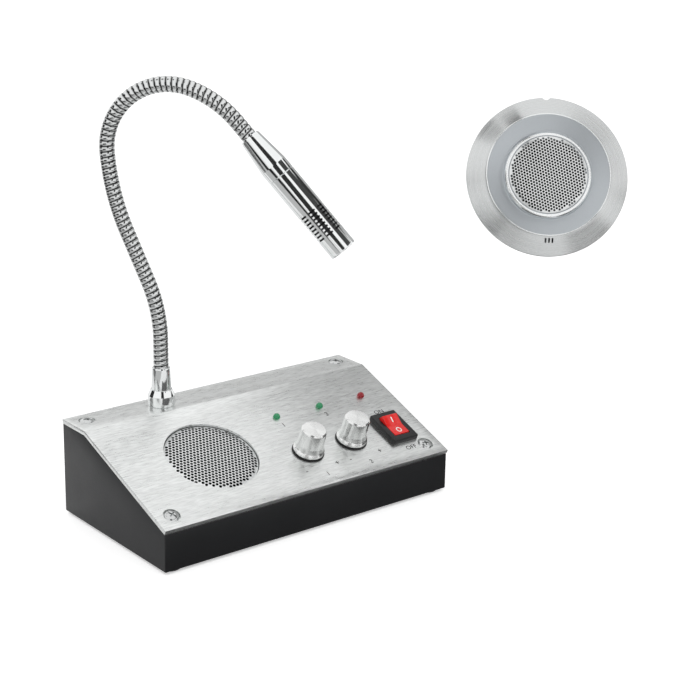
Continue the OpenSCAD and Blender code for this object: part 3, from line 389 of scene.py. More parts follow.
def perforated(radius, pitch, hole, thickness, height, plain_edge=0.25, lean=0.0):
    """A round sheet with staggered holes in columns that lean by some degrees;
    height(r) gives its crown."""
    bm = bmesh.new()
    round_hole = [(math.cos(math.radians(30 * k)), math.sin(math.radians(30 * k))) for k in range(12)]
    reach = int(radius / (pitch * 0.75)) + 2
    for column in range(-reach, reach + 1):
        for row in range(-reach, reach + 1):
            cx = column * pitch * math.sqrt(3) / 2 + 0.11
            cy = (row + 0.5 * (column % 2)) * pitch + 0.07
            if math.hypot(cx, cy) > radius + pitch:
                continue
            rim = []
            for k, (x, y) in enumerate(round_hole):
                out = pitch / math.sqrt(3) if k % 2 == 0 else pitch / 2
                x, y = cx + out * x, cy + out * y
                beyond = max(1.0, math.hypot(x, y) / radius)
                rim.append((x / beyond, y / beyond))
            if all(math.hypot(x, y) > radius - 1e-4 for x, y in rim):
                continue
            outer = [bm.verts.new((x, y, 0)) for x, y in rim]
            if math.hypot(cx, cy) + hole / 2 > radius - plain_edge:
                bm.faces.new(outer)
                continue
            inner = [bm.verts.new((cx + hole / 2 * x, cy + hole / 2 * y, 0)) for x, y in round_hole]
            for k in range(12):
                j = (k + 1) % 12
                bm.faces.new((inner[k], outer[k], outer[j], inner[j]))
    bmesh.ops.remove_doubles(bm, verts=bm.verts, dist=pitch * 1e-3)
    bmesh.ops.dissolve_degenerate(bm, dist=pitch * 1e-3, edges=bm.edges)
    for v in bm.verts:
        v.co.z = height(math.hypot(v.co.x, v.co.y))
    bmesh.ops.transform(bm, matrix=turn(lean, "Z"), verts=bm.verts)

    def sink(v):
        v.co.z -= thickness

    return thicken(bm, sink)


def ribbed(s0, s1, pitch, depth, radius=NECK_RADIUS, sides=32, steps=10):
    """A stretch of the wound tube, its windings climbing like a screw's thread."""
    bm = bmesh.new()
    hollow = bm.verts.layers.float.new("groove")
    count = max(2, round((s1 - s0) / pitch * steps))
    rings = []
    for i in range(count + 1):
        s = s0 + (s1 - s0) * i / count
        at = at_neck(s)
        ring = []
        for k in range(sides):
            phase = (s / pitch - k / sides) % 1.0
            across = 2 * phase - 1
            r = radius - depth * (1 - math.sqrt(max(0.0, 1 - abs(across) ** 2.6)))
            a = 2 * math.pi * k / sides
            ring.append(bm.verts.new(at @ Vector((r * math.cos(a), r * math.sin(a), 0))))
            # how deep this point sits in a groove; the wire finish turns it into painted shade
            ring[-1][hollow] = (radius - r) / depth
        rings.append(ring)
    for low, high in zip(rings, rings[1:]):
        for k in range(sides):
            j = (k + 1) % sides
            bm.faces.new((low[k], low[j], high[j], high[k]))
    return bm


def letters(text, height, thickness=0.02):
    """Plain upright letters, centred, as a thin shape."""
    curve = bpy.data.curves.new("letters", "FONT")
    curve.body, curve.size = text, height / 0.73
    curve.align_x, curve.align_y = "CENTER", "CENTER"
    curve.extrude = thickness
    thing = put("letters", curve)
    bm = final_shape(thing)
    bpy.data.objects.remove(thing)
    bpy.data.curves.remove(curve)
    return bm


def piece(name, bm, material, body, at=Matrix.Identity(4), replaces=(),
          smooth=32, between=None):
    """Makes a shape in millimetres into a piece that rides on a body, or, given between, a piece fixed in
    place that rides on none.
    """
    bmesh.ops.transform(bm, matrix=Matrix.Scale(MM, 4) @ at, verts=bm.verts)
    bmesh.ops.recalc_face_normals(bm, faces=bm.faces)
    mesh = bpy.data.meshes.new(name)
    bm.to_mesh(mesh)
    bm.free()
    mesh.polygons.foreach_set("use_smooth", [True] * len(mesh.polygons))
    mesh.set_sharp_from_angle(angle=math.radians(smooth))
    mesh.materials.append(material)
    made = put(name, mesh)
    if between:
        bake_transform(made)
    else:
        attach(made, body)
    if replaces:
        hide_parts(*replaces)
    return made


# ---- finishes -----------------------------------------------------------------


def add(tree, kind, inputs=None, **settings):
    """Adds a shader node; inputs maps a socket to a value or to another node's output."""
    made = tree.nodes.new("ShaderNode" + kind)
    for key, value in settings.items():
        setattr(made, key, value)
    for socket, value in (inputs or {}).items():
        if isinstance(value, bpy.types.NodeSocket):
            tree.links.new(value, made.inputs[socket])
        else:
            made.inputs[socket].default_value = value
    return made


def finish_of(name, rgb, metallic, roughness, **constants):
    """A new material and its tree and shader, with the plain values set."""
    material = bpy.data.materials.new(name)
    material.use_nodes = True
    tree = material.node_tree
    shader = tree.nodes["Principled BSDF"]
    shader.inputs["Base Color"].default_value = (*rgb, 1)
    shader.inputs["Metallic"].default_value = metallic
    shader.inputs["Roughness"].default_value = roughness
    for socket, value in constants.items():
        shader.inputs[socket.replace("_", " ")].default_value = value
    return material, tree, shader


def once(make):
    """Lets pieces that ask for a finish by the same name share it."""
    def finish(name, *values, **constants):
        return bpy.data.materials.get(name) or make(name, *values, **constants)

    return finish


def coat(tree, shader, rgb, shade, rough):
    """Shades the colour by one pattern, and sets the roughness by another."""
    tint = add(tree, "VectorMath", {0: (*rgb,), "Scale": shade.outputs[0]}, operation="SCALE")
    tree.links.new(tint.outputs[0], shader.inputs["Base Color"])
    tree.links.new(rough.outputs[0], shader.inputs["Roughness"])


def vary(tree, shader, rgb, pattern, spread, low, high):
    """Lets a pattern shade the colour a little and move the roughness between two values."""
    shade, rough = (add(tree, "MapRange", {"Value": pattern, "To Min": least, "To Max": most})
                    for least, most in ((1 - spread, 1 + spread), (low, high)))
    coat(tree, shader, rgb, shade, rough)


def relief(tree, shader, pattern, millimetres, strength=1.0):
    bump = add(tree, "Bump", {"Height": pattern, "Distance": millimetres * MM, "Strength": strength})
    tree.links.new(bump.outputs[0], shader.inputs["Normal"])


def comb(tree, shader, direction):
    """Lets the gloss spread across fine marks that run along a direction."""
    facing = add(tree, "NewGeometry").outputs["Normal"]
    across = add(tree, "VectorMath", {0: facing, 1: direction}, operation="CROSS_PRODUCT")
    tree.links.new(across.outputs[0], shader.inputs["Tangent"])


def per_metre(millimetres):
    """Scale of a pattern whose grains, threads or tracks have this size."""
    return 1000.0 / millimetres


def grains(tree, sizes, detail, roughness=0.5):
    """Uneven grains with these sizes along X, Y and Z of the piece, in millimetres."""
    place = add(tree, "Mapping", {"Vector": add(tree, "TexCoord").outputs["Object"],
                                  "Scale": tuple(per_metre(size) for size in sizes)})
    return add(tree, "TexNoise", {"Vector": place.outputs[0], "Scale": 1.0, "Detail": detail,
                                  "Roughness": roughness}).outputs["Fac"]


def brushed_aluminium(rgb):
    """Anodised aluminium sheet, brushed along its width: streaks along X, drawn 0.8 mm
    apart so that they show, and a gloss that spreads up and down the slope."""
    material, tree, shader = finish_of("brushed_anodised_aluminium", rgb, 1.0, 0.3, Anisotropic=0.55)
    streaks, clouds = grains(tree, (6, 0.8, 0.8), 2.0), grains(tree, (1000 / 9, 6, 6), 2.0)
    mixed = add(tree, "MapRange", {"Value": 0.22, "To Min": streaks, "To Max": clouds})
    crisp = add(tree, "MapRange", {"Value": mixed.outputs[0], "From Min": 0.36, "From Max": 0.64})
    vary(tree, shader, rgb, crisp.outputs[0], 0.13, 0.27, 0.36)
    relief(tree, shader, streaks, 0.02, 0.1)
    comb(tree, shader, (1.0, 0.0, 0.0))
    return material


def turned_metal(name, rgb, roughness, spread, at, groove, grip):
    """Metal turned on a lathe round the Z axis of its place: rings, drawn far enough
    apart to show, which pull highlights into spokes."""
    material, tree, shader = finish_of(name, rgb, 1.0, roughness, Anisotropic=grip)
    centre, axis = at.translation * MM, at.to_3x3() @ Vector((0, 0, 1))
    out = add(tree, "VectorMath", {0: add(tree, "TexCoord").outputs["Object"], 1: centre},
              operation="SUBTRACT")
    along = add(tree, "VectorMath", {0: out.outputs[0], 1: axis}, operation="DOT_PRODUCT")
    round_it = add(tree, "VectorMath", {0: axis, 1: out.outputs[0]}, operation="CROSS_PRODUCT")
    radius = add(tree, "VectorMath", {0: round_it.outputs[0]}, operation="LENGTH")
    flat = add(tree, "CombineXYZ", {0: radius.outputs["Value"], 1: 0.0, 2: along.outputs["Value"]})
    rings = add(tree, "TexNoise", {"Vector": flat.outputs[0], "Scale": per_metre(groove),
                                   "Detail": 2.0, "Roughness": 0.5}).outputs["Fac"]
    crisp = add(tree, "MapRange", {"Value": rings, "From Min": 0.3, "From Max": 0.7})
    vary(tree, shader, rgb, crisp.outputs[0], spread, roughness * 0.85, roughness * 1.2)
    relief(tree, shader, rings, 0.01, 0.05)
    grooves = add(tree, "VectorTransform", {0: round_it.outputs[0]}, vector_type="VECTOR",
                  convert_from="OBJECT", convert_to="WORLD")
    comb(tree, shader, grooves.outputs[0])
    return material


@once
def plated(name, rgb, roughness):
    """Bright nickel-chrome plating over polished metal: a near mirror, with the faint
    haze that handling leaves."""
    material, tree, shader = finish_of(name, rgb, 1.0, roughness)
    haze = grains(tree, (4, 4, 4), 4.0, 0.6)
    vary(tree, shader, rgb, haze, 0.025, roughness * 0.6, roughness * 1.5)
    relief(tree, shader, haze, 0.01, 0.2)
    return material


def wound_wire(rgb):
    """Chromed spring wire, wound close: bright crowns, and painted shade that darkens the colour in the
    grooves where the windings meet.
    """
    material, tree, shader = finish_of("chromed_spring_wire", rgb, 1.0, 0.12)
    groove = add(tree, "Attribute", attribute_name="groove").outputs["Fac"]
    # painted shade: the deeper a point sits in a groove, the more the colour falls, from 0.85 of the chrome
    # on the crowns to 0.04 at the bottom
    shade = add(tree, "MapRange", {"Value": groove, "From Min": 0.04, "From Max": 0.45,
                                   "To Min": 0.85, "To Max": 0.04})
    rough = add(tree, "MapRange", {"Value": grains(tree, (2, 2, 2), 3.0), "To Min": 0.08, "To Max": 0.16})
    coat(tree, shader, rgb, shade, rough)
    return material


@once
def moulded(name, rgb, roughness, grain=0.45, depth=0.03, **constants):
    """Moulded plastic from a spark-eroded tool: an even satin grain that breaks up the gloss."""
    material, tree, shader = finish_of(name, rgb, 0.0, roughness, **constants)
    pits, flow = grains(tree, (grain, grain, grain), 3.0, 0.65), grains(tree, (25, 25, 25), 2.0)
    blend = add(tree, "Math", {0: pits, 1: flow}, operation="MULTIPLY")
    crisp = add(tree, "MapRange", {"Value": blend.outputs[0], "From Min": 0.12, "From Max": 0.4})
    vary(tree, shader, rgb, crisp.outputs[0], 0.06, roughness * 0.9, min(1.0, roughness * 1.15))
    relief(tree, shader, pits, depth, 0.5)
    return material


@once
def moulded_metal(name, rgb, roughness):
    """Pressed steel sheet with a light silver coat: fine orange peel, even satin gloss."""
    material, tree, shader = finish_of(name, rgb, 0.85, roughness)
    peel = grains(tree, (0.8, 0.8, 0.8), 3.0)
    vary(tree, shader, rgb, peel, 0.05, roughness * 0.85, roughness * 1.2)
    relief(tree, shader, peel, 0.02, 0.4)
    return material


@once
def resin(name, rgb):
    """Cast epoxy of a lamp: coloured, slightly milky, with a glossy skin."""
    material, tree, shader = finish_of(name, rgb, 0.0, 0.18, Transmission_Weight=0.25, Coat_Weight=0.4)
    vary(tree, shader, rgb, grains(tree, (1.2, 1.2, 1.2), 2.0), 0.18, 0.14, 0.24)
    return material


def woven_cloth(rgb):
    """Thin nylon dust cloth: two crossing sets of threads, 0.5 mm apart so that they show."""
    material, tree, shader = finish_of("nylon_dust_cloth", rgb, 0.0, 0.9, Specular_IOR_Level=0.1)
    place = add(tree, "TexCoord").outputs["Object"]
    threads = [add(tree, "TexWave", {"Vector": place, "Scale": per_metre(0.5) / 6.28, "Distortion": 0.4},
                   bands_direction=axis).outputs["Fac"] for axis in ("X", "Y")]
    weave = add(tree, "Math", {0: threads[0], 1: threads[1]}, operation="MULTIPLY")
    vary(tree, shader, rgb, weave.outputs[0], 0.3, 0.85, 0.95)
    relief(tree, shader, weave.outputs[0], 0.05)
    return material


def board_lacquer(rgb):
    """Solder lacquer over a glass-filled board: green, semi-gloss, tracks just showing."""
    material, tree, shader = finish_of("board_lacquer", rgb, 0.0, 0.35)
    place = add(tree, "TexCoord").outputs["Object"]
    tracks = add(tree, "TexBrick", {"Vector": place, "Scale": per_metre(6), "Mortar Size": 0.08})
    vary(tree, shader, rgb, tracks.outputs["Fac"], 0.25, 0.3, 0.42)
    return material


def ink():
    """Screen-printed black ink: flat, with slightly uneven cover."""
    return moulded("screen_print_ink", linear("#0c0c0d"), 0.6, 0.3, 0.0, Specular_IOR_Level=0.2)


# ---- operators ----------------------------------------------------------------


class IntercomOperator:
    """What the operators share: the sizes in millimetres and the colours."""

    bl_options = {"REGISTER", "UNDO"}

    def size(self, name):
        return getattr(bpy.context.scene.intercom_sizes, name) / MM

    def tone(self, name):
        return tuple(getattr(bpy.context.scene.intercom_colours, name))


def dress(material, *nodes):
    """Gives CAD nodes that keep their shape a finish."""
    for node in nodes:
        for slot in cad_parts[node].material_slots:
            slot.material = material


class INTERCOM_OT_case(IntercomOperator, bpy.types.Operator):
    """Moulded case with its open top, socket holes and four rubber feet"""

    bl_idname = "intercom.case"
    bl_label = "Case and feet"

    def execute(self, context):
        edge = self.size("case_round")
        side = [(-BACK_Y, 0), (BACK_Y, 0), (BACK_Y, CASE_BACK), (BACK_Y - LEDGE_DEPTH, CASE_BACK),
                (-BACK_Y, CASE_FRONT)]
        shell = bevel(prism(side, -SIDE_X, SIDE_X, "X"), edge, 3)
        shell = cut(shell, box(CASE_WIDTH - 2 * WALL, CASE_DEPTH - 2 * WALL, WALL, CASE_BACK + 20),
                    *[(rod(SOCKET_RADIUS, -8, 8), move(x, BACK_Y, SOCKET_Z) @ turn(90, "X"))
                      for x in SOCKET_X])
        piece("case", shell, moulded("satin_black_abs", self.tone("case"), 0.4),
              "desk_unit", replaces=["housing"])
        foot = lathe(soften([(0, 0), (FOOT_RADIUS, 0, 0.1), (FOOT_RADIUS, -FOOT_HEIGHT, 0.5),
                             (0, -FOOT_HEIGHT)], closed=False), 48)
        x, y = SIDE_X - FOOT_INSET, BACK_Y - FOOT_INSET
        feet = joined(*[(foot, move(i * x, j * y)) for i in (-1, 1) for j in (-1, 1)])
        piece("rubber_feet", feet, moulded("foot_rubber", linear("#19191a"), 0.8, 0.8, 0.05),
              "desk_unit", replaces=["feet"])
        return {"FINISHED"}


class INTERCOM_OT_plate(IntercomOperator, bpy.types.Operator):
    """Folded aluminium plate with its speaker opening and screw sinkings"""

    bl_idname = "intercom.plate"
    bl_label = "Top plate"

    def execute(self, context):
        edge, fold = self.size("plate_round"), BACK_Y - LEDGE_DEPTH
        side = soften([(-BACK_Y, CASE_FRONT), (fold, CASE_BACK, 0.4), (BACK_Y, CASE_BACK),
                       (BACK_Y, LEDGE_TOP), (fold - PLATE * math.tan(SLOPE / 2), LEDGE_TOP,
                                             self.size("fold_round")),
                       (-BACK_Y - PLATE * math.sin(SLOPE), CASE_FRONT + PLATE * math.cos(SLOPE))], 6)
        half = SIDE_X + PLATE_OVERHANG
        sheet = bevel(prism(side, -half, half, "X"), edge, 2, sharper=40)
        sheet = cut(sheet, (rod(SPEAKER_RADIUS, -5, 5, 128), on_slope(SPEAKER_X, SPEAKER_V)))
        sinking = lathe([(0, 0), (SINK_RADIUS - 0.2, 0), (SINK_RADIUS, 0.2), (SINK_RADIUS, 4), (0, 4)], 48)
        sheet = cut(sheet, *[(sinking, at) for at in screw_places(PLATE - SINK_DEPTH)])
        piece("folded_plate", sheet, brushed_aluminium(self.tone("plate")), "desk_unit",
              replaces=["top_panel"])
        return {"FINISHED"}


class INTERCOM_OT_plate_screws(IntercomOperator, bpy.types.Operator):
    """Four cross-head screws that hold the plate"""

    bl_idname = "intercom.plate_screws"
    bl_label = "Plate screws"

    def execute(self, context):
        head = lathe(soften([(0, -3), (2, -3), (2, 0), (3.85, 0, 0.2), (4, 0.75, 0.25), (3.3, 1.5, 0.8),
                             (1.8, 1.95, 1.0), (0, 2)], closed=False), 64)
        for angle in (0, 90):
            slot = box(4.9, 0.95, 0.75, 3)
            for v in slot.verts:
                if v.co.z < 1:
                    v.co.x *= 0.6
                    v.co.y *= 0.7
            head = cut(head, (slot, turn(angle + 20, "Z")))
        turns = (12, 55, -20, 35)
        screws = joined(*[(head, at @ turn(angle, "Z"))
                          for at, angle in zip(screw_places(PLATE - SINK_DEPTH), turns)])
        piece("plate_screws", screws, plated("nickel_plated_screw", linear("#d4d6d6"), 0.16),
              "desk_unit", replaces=["panel_screws"])
        return {"FINISHED"}


class INTERCOM_OT_speaker_grille(IntercomOperator, bpy.types.Operator):
    """Perforated sheet in the plate's round opening"""

    bl_idname = "intercom.speaker_grille"
    bl_label = "Speaker grille"

    def execute(self, context):
        radius = SPEAKER_RADIUS - 0.4

        def crown(r):
            return 1.0 + 1.0 * (1 - max(0.0, (r - radius + 5) / 5) ** 2)

        sheet = perforated(radius, self.size("desk_hole_pitch"), self.size("desk_hole_diameter"),
                           0.15, crown, lean=30)
        metal = moulded_metal("perforated_steel", self.tone("sheet"), 0.34)
        piece("speaker_perforated_sheet", sheet, metal, "desk_unit", on_slope(SPEAKER_X, SPEAKER_V),
              replaces=["speaker_grille"], smooth=40)
        return {"FINISHED"}


class INTERCOM_OT_lamps(IntercomOperator, bpy.types.Operator):
    """Three round lamps that stand out of the plate"""

    bl_idname = "intercom.lamps"
    bl_label = "Lamps"

    def execute(self, context):
        tones = (("lamp_inside", "green_lamp", "lamp_green"), ("lamp_outside", "green_lamp", "lamp_green"),
                 ("lamp_power", "red_lamp", "lamp_red"))
        for x, (node, tone, slot) in zip(COLUMNS, tones):
            dome = [(LAMP_RADIUS * math.sin(a), PLATE + 0.2 + LAMP_RADIUS * math.cos(a))
                    for a in (math.radians(degrees) for degrees in range(90, -1, -10))]
            flange = LAMP_RADIUS + 0.4
            bulb = lathe([(0, -1), (flange, -1), (flange, 0), (LAMP_RADIUS, 0), *dome], 48)
            leads = [(box(0.5, 0.5, -7.5, -0.9), move(i * 1.27, 0, 0)) for i in (-1, 1)]
            skin = resin("lamp_resin_" + tone, self.tone(tone))
            piece(node + "_resin", joined(bulb, *leads), skin, "desk_unit", on_slope(x, LAMP_V),
                  replaces=[node])
        return {"FINISHED"}


class INTERCOM_OT_knobs(IntercomOperator, bpy.types.Operator):
    """Two turned knobs, each over a black ring"""

    bl_idname = "intercom.knobs"
    bl_label = "Volume knobs"

    def execute(self, context):
        low, top = KNOB_FLOOR, KNOB_TOP
        outline = soften([(3.05, low + 3.3), (6.07, low + 3.3), (6.07, low, 0.1), (8.5, low, 0.15),
                          (8.6, low + 1.3, 0.2), (7.75, low + 2.4, 1.2), (7.2, low + 5.0, 2.5),
                          (6.95, top - 0.9, 0.3), (6.2, top, 0.12), (0, top)], 6, closed=False)
        for name, x in zip(("inside", "outside"), COLUMNS):
            skin = turned_metal("turned_aluminium_" + name, self.tone("knob"), 0.2, 0.02,
                                on_slope(x, KNOB_V), 0.9, 0.9)
            piece(f"knob_{name}_turned", lathe(outline, 96), skin, f"{name}_volume", on_slope(x, KNOB_V),
                  replaces=[f"knob_{name}"])
        ring = turned([(6.1, 0), (8.9, 0), (8.9, 0.8, 0.25), (6.1, 0.8)])
        rings = joined(*[(ring, on_slope(x, KNOB_V, PLATE)) for x in COLUMNS[:2]])
        piece("knob_rings_moulded", rings, moulded("black_nylon", linear("#0e0e0f"), 0.5), "desk_unit",
              replaces=["knob_rings"])
        return {"FINISHED"}


class INTERCOM_OT_switch(IntercomOperator, bpy.types.Operator):
    """Rocker switch: black frame, red rocker and its two signs"""

    bl_idname = "intercom.switch"
    bl_label = "Rocker switch"

    def execute(self, context):
        at = on_slope(COLUMNS[2], SWITCH_V, PLATE)
        collar = bevel(box(*SWITCH_SIZE, 0, SWITCH_RIM, 0.8), 0.5, 3,
                       lambda edge: all(v.co.z > SWITCH_RIM - 0.2 for v in edge.verts))
        collar = cut(collar, box(*SWITCH_WELL, -1, 4, 0.4))
        width, length = SWITCH_WELL
        body = cut(box(width + 2.4, length + 1.6, -15, 0), box(width, length, -11, 1))
        piece("switch_frame", joined(collar, body), moulded("black_switch_nylon", linear("#101112"), 0.32),
              "desk_unit", at, replaces=["switch_housing"])
        tilt, reach, middle = math.radians(ROCKER_TILT), ROCKER_REACH, ROCKER_MIDDLE
        edge = reach - 0.95
        crest = middle + edge * math.tan(tilt)
        side = [(reach * math.cos(a), reach * math.sin(a))
                for a in (math.radians(degrees) for degrees in range(18, -28, -9))]
        outline = ([(-edge, crest, 0.5), (0, middle, 2.0), (edge, crest, 0.5)] + side
                   + [(reach - 1, -4), (1 - reach, -4)] + [(-x, y) for x, y in reversed(side)])
        lever = bevel(prism(soften(outline, 5), -5.1, 5.1, "X"), 0.3, 2,
                      lambda edge: abs(edge.verts[0].co.x - edge.verts[1].co.x) < 0.1, sharper=50)
        pin = (rod(1.2, -6, 6, 32), turn(90, "Y"))
        pivot = at @ move(0, 0, ROCKER_PIVOT) @ turn(ROCKER_TILT, "X")
        gloss = moulded("red_polycarbonate", self.tone("rocker"), 0.22, depth=0.008,
                        Coat_Weight=0.3, Coat_Roughness=0.1)
        piece("rocker_lever", joined(lever, pin), gloss, "power_rocker", pivot, replaces=["rocker"])
        bar = box(0.75, 3.4, -0.02, 0.06, 0.3)
        ring = lathe([(1.1, -0.02), (1.65, -0.02), (1.65, 0.06), (1.1, 0.06)], 40, closed=True)
        for v in ring.verts:
            v.co.y *= 1.15
        face = middle * math.cos(tilt) + 0.01
        signs = joined((bar, turn(ROCKER_TILT, "X") @ move(0, 4.2, face)),
                       (ring, turn(-ROCKER_TILT, "X") @ move(0, -4.2, face)))
        piece("rocker_signs", signs, moulded("white_pad_print", linear("#f6f3ee"), 0.5, depth=0.0),
              "power_rocker", pivot)
        return {"FINISHED"}


class INTERCOM_OT_neck_foot(IntercomOperator, bpy.types.Operator):
    """Collar with its shoulder, and the tapered sleeve above it"""

    bl_idname = "intercom.neck_foot"
    bl_label = "Neck collar and sleeve"

    def execute(self, context):
        chrome = plated("bright_chrome", self.tone("chrome"), 0.07)
        top = COLLAR_HEIGHT + SHOULDER_HEIGHT
        collar = turned([(2.5, -9), (5, -9), (5, 0), (7, 0), (7.3, 0.3), (7.3, COLLAR_HEIGHT, 0.25),
                         (5.75, top, 0.2), (4.15, top), (4.15, -2.5), (2.5, -2.5)])
        piece("collar_turned", collar, chrome, "desk_unit", on_ledge(NECK_X, LEDGE_DEPTH / 2, PLATE),
              replaces=["neck_collar"])
        sleeve = turned([(4.1, 0), (5.4, 0, 0.15), (4.95, SLEEVE_HEIGHT - 0.5, 0.6),
                         (4.7, SLEEVE_HEIGHT, 0.2), (4.1, SLEEVE_HEIGHT)])
        piece("sleeve_turned", sleeve, chrome, "desk_unit", on_ledge(NECK_X, LEDGE_DEPTH / 2, PLATE + top),
              replaces=["neck_sleeve"])
        return {"FINISHED"}


class INTERCOM_OT_gooseneck(IntercomOperator, bpy.types.Operator):
    """Wound flexible tube, in three stretches that each run across one joint"""

    bl_idname = "intercom.gooseneck"
    bl_label = "Gooseneck"

    def execute(self, context):
        pitch, depth = self.size("rib_pitch"), self.size("rib_depth")
        skin = wound_wire(self.tone("chrome"))
        bodies = ("neck_lower", "neck_middle", "neck_upper", "microphone")
        nodes = ("neck_lower_tube", "neck_middle_tube", "neck_upper_tube", "neck_end_tube")
        ends = (-2.0, (BENDS[0] + BENDS[1]) / 2, (BENDS[1] + BENDS[2]) / 2, NECK_LENGTH + 3)
        for number, name in enumerate(("lower", "middle", "upper")):
            start, end = (at_neck(BENDS[number] + d).translation * MM for d in (-NECK_FLEX, NECK_FLEX))
            hidden = nodes[number : number + 1] + (nodes[3:] if number == 2 else ())
            tube = ribbed(ends[number], ends[number + 1], pitch, depth)
            piece(f"gooseneck_{name}", tube, skin, bodies[number], replaces=hidden,
                  smooth=60, between=(bodies[number + 1], start, end))
        return {"FINISHED"}


class INTERCOM_OT_microphone(IntercomOperator, bpy.types.Operator):
    """Microphone: plain part, slotted barrel, dark liner and mouth screen"""

    bl_idname = "intercom.microphone"
    bl_label = "Microphone"

    def execute(self, context):
        chrome = plated("bright_chrome", self.tone("chrome"), 0.07)
        r, end = MIC_RADIUS, ADAPTER_LENGTH
        plain = turned([(4.05, 0), (4.9, 0), (5.5, 0.8, 0.3), (5.6, 1.7), (r - 0.36, TAPER_LENGTH - 3.3),
                        (r, TAPER_LENGTH, 3), (r, end - 0.7), (r, end - 0.25, 0.1), (r - 0.3, end),
                        (2.5, end), (2.5, 4.3), (4.05, 4.3)])
        piece("adapter_turned", plain, chrome, "microphone", at_mic(), replaces=["mic_adapter"])
        piece("barrel_slotted", self.barrel(context), chrome, "microphone", at_mic(end),
              replaces=["mic_barrel"], smooth=25)
        liner = turned([(r - 1.35, 18), (r - 0.95, 18), (r - 0.95, 40), (r - 1.35, 40)], 64)
        piece("barrel_liner", liner, moulded("liner_foam", linear("#0b0b0c"), 0.95, 0.8, 0.1), "microphone",
              at_mic(end))
        screen = perforated(r - 1.0, 0.95, 0.6, 0.2, lambda distance: 0.0, 0.1)
        piece("mouth_screen", screen, moulded_metal("wire_screen", linear("#9a9d9f"), 0.3), "microphone",
              at_mic(end + BARREL_LENGTH - 2), replaces=["mic_mesh"], smooth=40)
        return {"FINISHED"}

    def barrel(self, context):
        """Wall with rings of slots; heights from the joint with the plain part. The rings of
        points at 0.6 and 10 mm, and just above the slots, keep the shading even."""
        width, pitch = self.size("slot_width"), self.size("slot_pitch")
        low = [SLOTS_TOP - i * pitch - width / 2 for i in range(context.scene.intercom_sizes.slot_rings)]
        slots = [h for start in reversed(low) for h in (start, start + width)]
        r, end = MIC_RADIUS, BARREL_LENGTH
        walls = [0.25, 0.6, 10.0, *slots, slots[-1] + 0.6, end - 1.0, end - 0.5]
        bm = lathe([(r - 0.3, 0), *[(r, h) for h in walls], (r - 0.12, end - 0.15), (r - 0.4, end)],
                   MIC_SIDES)
        bm.faces.ensure_lookup_table()
        rows = [1 + walls.index(start) for start in slots[::2]]
        gone = [bm.faces[row * MIC_SIDES + k] for row in rows for k in range(MIC_SIDES)
                if (k + SLOT_SHIFT) % SLOT_COLUMN < SLOT_OPEN]
        bmesh.ops.delete(bm, geom=gone, context="FACES")

        def inward(v):
            inner = (MIC_RADIUS - MIC_WALL) / math.hypot(v.co.x, v.co.y)
            v.co.x *= inner
            v.co.y *= inner

        return thicken(bm, inward)


class INTERCOM_OT_window_flange(IntercomOperator, bpy.types.Operator):
    """Conical flange of the window unit, with its notch and three sound slots"""

    bl_idname = "intercom.window_flange"
    bl_label = "Window unit flange"

    def execute(self, context):
        hole = RIM_RADIUS - 0.6
        cone = turned([(FLANGE_RADIUS, 0, 0.15), (FLANGE_RADIUS, 1.0, 0.3), (hole + 1, LIP_HEIGHT, 0.3),
                       (hole, LIP_HEIGHT), (hole, LIP_HEIGHT - 1), (hole + 0.6, LIP_HEIGHT - 1), (41, 0)],
                      WINDOW_SIDES)
        slots = [(box(1.0, 2.6, -2, 14, 0.45), move(x, SLOT_ROW_V)) for x in (-1.9, 0, 1.9)]
        cone = cut(cone, *slots, (rod(2.2, -2, 4), move(0, FLANGE_RADIUS + 0.8)))
        metal = turned_metal("turned_aluminium_flange", self.tone("flange"), 0.28, 0.015, at_window(),
                             1.4, 0.85)
        piece("flange_turned", cone, metal, "window_unit", at_window(), replaces=["outside_flange"],
              smooth=20)
        return {"FINISHED"}


